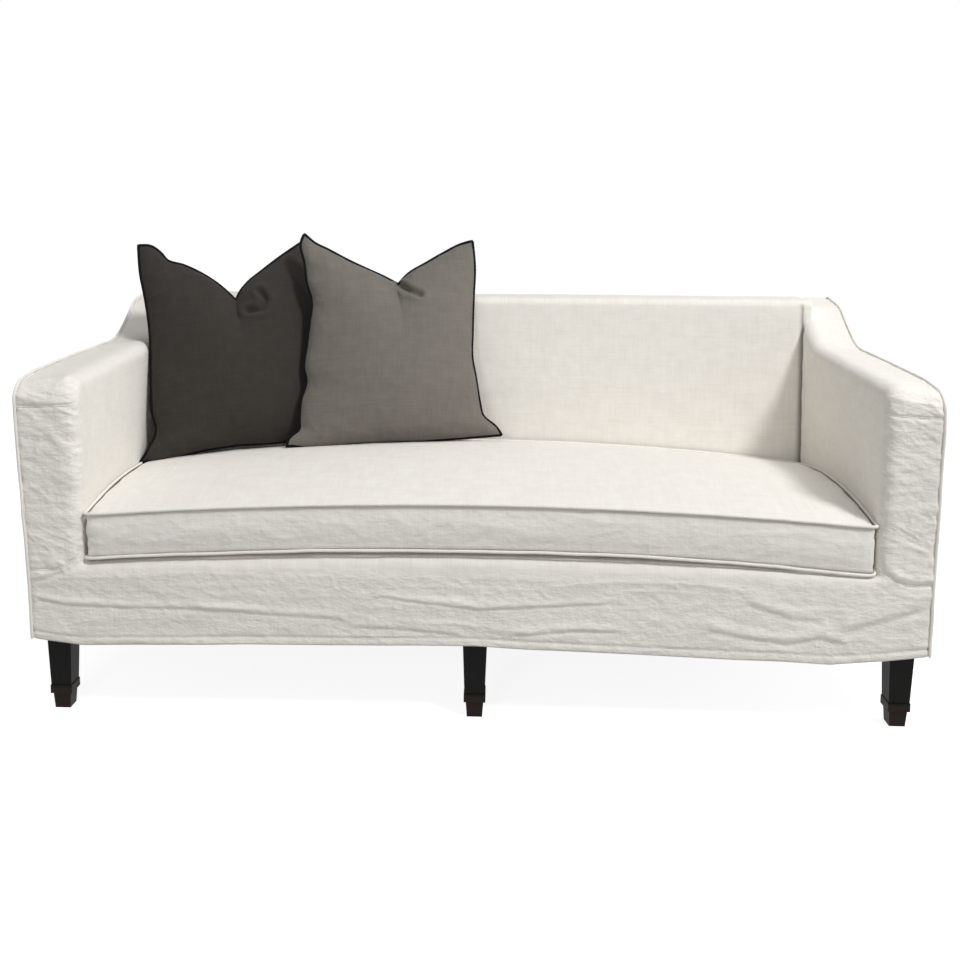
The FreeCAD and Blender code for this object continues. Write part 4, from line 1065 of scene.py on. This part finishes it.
def pillow_sheet(facts, steps):
    """Return the flat grid of a pillow between its four sides."""
    half = len(steps) // 2 + 1
    left = smooth_line(facts["left"], steps)
    right = smooth_line(facts["right"], steps)
    foot = smooth_line(facts["foot"], steps)
    rise = smooth_line(facts["top_left"], np.linspace(0, 1, half))
    fall = smooth_line(facts["top_right"], np.linspace(0, 1, half))
    top = np.vstack([rise, fall[1:]])
    s = steps[:, None, None]
    t = steps[None, :, None]
    ruled = (1 - s) * left[None] + s * right[None] + (1 - t) * foot[:, None] + t * top[:, None]
    corners = (1 - s) * (1 - t) * left[0] + s * (1 - t) * right[0] + (1 - s) * t * left[-1]
    return ruled - corners - s * t * right[-1]


def pillow_swell(s, t):
    """Return how full a pillow is, from 0 at its seams to 1 in its middle."""
    across_share = np.clip(np.sin(math.pi * s), 0, 1) ** 0.6
    up_share = np.clip(np.sin(math.pi * t ** 0.8), 0, 1) ** 0.6
    crease = bell(s, 0.5, 0.06 + 0.12 * (1 - t)) * ramp(t, 0.78, 1.0)
    return across_share * up_share * (1 - 0.7 * crease)


def pillow_mesh(name, flat, swell):
    """Return a pillow's two swelling faces, joined along the seam, and its seam's points."""
    count = len(flat)
    sheet = flat.reshape(-1, 2)
    front = np.column_stack([sheet[:, 0], -PILLOW_EDGE - PILLOW_FRONT * swell.ravel(), sheet[:, 1]])
    rear = np.column_stack([sheet[:, 0], PILLOW_EDGE + PILLOW_REAR * swell.ravel(), sheet[:, 1]])
    index = np.arange(count * count).reshape(count, count)
    quads = np.stack([index[:-1, :-1], index[1:, :-1], index[1:, 1:], index[:-1, 1:]], axis=-1)
    quads = quads.reshape(-1, 4)
    edge = np.concatenate([index[:, 0], index[-1, 1:], index[-2::-1, -1], index[0, -2:0:-1]])
    after = np.roll(edge, -1)
    other = count * count
    rim = np.stack([after, edge, edge + other, after + other], axis=-1)
    faces = np.vstack([quads, quads[:, ::-1] + other, rim]).tolist()
    return mesh_of(name, np.vstack([front, rear]), faces), edge


def make_pillow(name, seat_tree):
    """Build one scatter pillow: two stuffed faces, joined along a bound seam."""
    facts = PILLOWS[name]
    steps = np.linspace(0, 1, PILLOW_CELLS + 1)
    flat = pillow_sheet(facts, steps)
    s, t = np.meshgrid(steps, steps, indexing="ij")
    piece, edge = pillow_mesh(name + "_form", flat, pillow_swell(s, t))
    on_seam = np.zeros(len(piece.data.vertices), bool)
    on_seam[edge] = on_seam[edge + s.size] = True
    mark(piece, "cloth_place", np.tile(np.dstack([flat, np.zeros_like(s)]).reshape(-1, 3), (2, 1)))
    mark(piece, "inset", np.tile(np.minimum.reduce([s, 1 - s, t, 1 - t]).ravel(), 2))
    mark(piece, "crinkle", np.full(len(piece.data.vertices), 0.5))
    simulate(piece, on_seam, PILLOW_SWELL)
    subdivide(piece)
    points = points_of(piece)
    normals = normals_of(piece)
    inset = np.empty(len(points))
    piece.data.attributes["inset"].data.foreach_get("value", inset)
    small = crumple(points, (0.05, 0.2, 0.05), 21.0) - 0.35
    broad = crumple(points, (0.17, 0.3, 0.17), 23.0) - 0.3
    fold = np.abs(line_gap(points, np.array(facts["fold"]) / 1000))
    height = ramp(inset, 0.0, 0.04) * (0.003 * broad + 0.0006 * small)
    height += 0.003 * bell(inset, 0.05, 0.05) * small
    height += (0.004 * bell(fold, 0.016, 0.009) - 0.010 * bell(fold, 0, 0.008)) * (points[:, 1] < 0)
    place = pillow_frame(facts)
    placed = np.array([place @ Vector(p) for p in points + normals * height[:, None]])
    move_points(piece, above_seat(placed, seat_tree, SEAT_GAP))
    hand_over(piece, facts["slot"], name, name + "_cover", name + "_insert")
    line = np.array([place @ Vector((u, 0.0, v)) for u, v in flat.reshape(-1, 2)[edge]])
    line = above_seat(evenly(line, CORD_STEP, True), seat_tree, BINDING_RADIUS + SEAT_GAP)
    bound = name + "_binding"
    cord_piece(bound, line, BINDING_RADIUS, True, "black_edging", name, name + "_edging")


def above_seat(points, seat_tree, clearance):
    """Lift points that would sink into the seat cushion."""
    lifted = np.array(points)
    for point in lifted:
        hit = seat_tree.ray_cast(Vector((point[0], point[1], 1.0)), Vector((0, 0, -1)))[0]
        if hit is not None:
            point[2] = max(point[2], hit.z + clearance)
    return lifted


# ---- studio


SKY_LEVEL = 0.25
FLOOR_GLOW = 0.89
# Lamps: place, the point that they face, size and power.
LAMPS = {
    "key": ((3.7, -3.5, 6.3), (0.0, 0.0, 0.5), 1.6, 345),
    "side": ((4.0, 0.2, 1.4), (0.0, 0.0, 0.5), 1.6, 30),
    "front": ((-1.4, -4.4, 1.8), (0.0, 0.0, 0.4), 1.4, 28),
    "top": ((1.6, 0.1, 6.0), (0.0, 0.0, 0.4), 2.4, 58),
}


def make_studio():
    """Add the pale floor, the soft lamps and the camera at the photograph's place."""
    scene = bpy.context.scene
    scene.view_settings.view_transform = "Standard"
    world = bpy.data.worlds.new("studio")
    scene.world = world
    world.use_nodes = True
    sky = world.node_tree.nodes["Background"]
    level = world.node_tree.nodes.new("ShaderNodeMapRange")
    world.node_tree.links.new(background_rays(world.node_tree), level.inputs["Value"])
    level.inputs["To Min"].default_value = SKY_LEVEL
    level.inputs["To Max"].default_value = 1.0
    world.node_tree.links.new(level.outputs["Result"], sky.inputs["Strength"])
    sky.inputs["Color"].default_value = (1.0, 1.0, 1.0, 1.0)
    floor = mesh_of("floor", [(-40, -40, 0), (40, -40, 0), (40, 40, 0), (-40, 40, 0)], [(0, 1, 2, 3)])
    floor.data.materials.append(floor_material())
    for name, facts in LAMPS.items():
        add_lamp(name, *facts)
    add_camera()


def background_rays(tree):
    """Return 1 for the rays that show the background and 0 for those that light the sofa."""
    path = tree.nodes.new("ShaderNodeLightPath")
    share = path.outputs["Is Camera Ray"]
    for kind in ("Is Glossy Ray", "Is Transmission Ray"):
        larger = tree.nodes.new("ShaderNodeMath")
        larger.operation = "MAXIMUM"
        tree.links.new(share, larger.inputs[0])
        tree.links.new(path.outputs[kind], larger.inputs[1])
        share = larger.outputs[0]
    return share


def floor_material():
    """Return a white floor that still takes the sofa's shadow."""
    make = Nodes("studio_floor")
    glow = make.math("MULTIPLY", background_rays(make.tree), FLOOR_GLOW)
    make.give(glow, make.shader.inputs["Emission Strength"])
    make.give((1.0, 1.0, 1.0, 1.0), make.shader.inputs["Emission Color"])
    return make.finish((0.45, 0.45, 0.45, 1.0), 0.9, Specular_IOR_Level=0.1)


def add_lamp(name, place, target, size, power):
    """Add a large soft lamp that faces a point."""
    data = bpy.data.lights.new(name, "AREA")
    data.shape = "DISK"
    data.size = size
    data.energy = power
    lamp = new_object(name, data)
    lamp.location = place
    lamp.rotation_euler = (Vector(target) - Vector(place)).to_track_quat("-Z", "Y").to_euler()


def add_camera():
    """Stand the camera where the photograph was taken from."""
    turn = Matrix.Rotation(CAMERA_YAW, 4, "Z")
    turn = turn @ Matrix.Rotation(math.pi / 2 - CAMERA_PITCH, 4, "X")
    turn = turn @ Matrix.Rotation(CAMERA_ROLL, 4, "Z")
    data = bpy.data.cameras.new("camera")
    data.sensor_width = SENSOR
    data.lens = FOCAL_PIXELS * SENSOR / PHOTO_PIXELS
    data.shift_x = (PHOTO_PIXELS / 2 - AXIS_PIXEL[0]) / PHOTO_PIXELS
    data.shift_y = (AXIS_PIXEL[1] - PHOTO_PIXELS / 2) / PHOTO_PIXELS
    camera = new_object("camera", data)
    camera.matrix_world = Matrix.Translation(Vector(CAMERA_PLACE)) @ turn
    bpy.context.scene.camera = camera


# ---- build

RAILS = ["front_rail", "back_rail", "side_rail_left", "side_rail_right"]
POSTS = ["arm_post_left", "arm_post_right", "back_post_left", "back_post_right", "back_uprights"]
UPPER_RAILS = ["arm_top_rail_left", "arm_top_rail_right", "back_top_rail"]
SEAT_WOOD = ["center_rail", "corner_blocks", "deck_rail"]
# The CAD nodes that stay, by slot.
KEPT_NODES = {
    "leg_wood": [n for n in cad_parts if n.startswith("leg_") and n != "leg_bolts"],
    "frame_wood": POSTS + UPPER_RAILS + SEAT_WOOD + RAILS,
    "board": ["arm_liners_left", "arm_liners_right"],
    "steel": ["leg_bolts", "seat_springs", "spring_clips"],
    "webbing": ["back_webbing"],
    "zip_tape": ["seat_cushion_zip"],
    "zip_metal": ["zip_slider"],
}
for slot, nodes in KEPT_NODES.items():
    for node in nodes:
        dress(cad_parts[node], slot)
make_frame_sheet("dust_sheet", "dust_cover", "dust_cloth", 0.006)
make_frame_sheet("burlap_sheet", "deck_burlap", "burlap", 0.001)
cover_tree = tree_of(make_slipcover())
for side in SIDES:
    make_arm_piping(side)
    make_front_seam(cover_tree, "arm_seam", side, ARM_SEAM_LINE)
    make_front_seam(cover_tree, "apron_seam", side, APRON_SEAM_LINE)
seat_tree = tree_of(make_cushion())
for level in ("top", "low"):
    make_welt(level)
for pillow in PILLOWS:
    make_pillow(pillow, seat_tree)
make_studio()
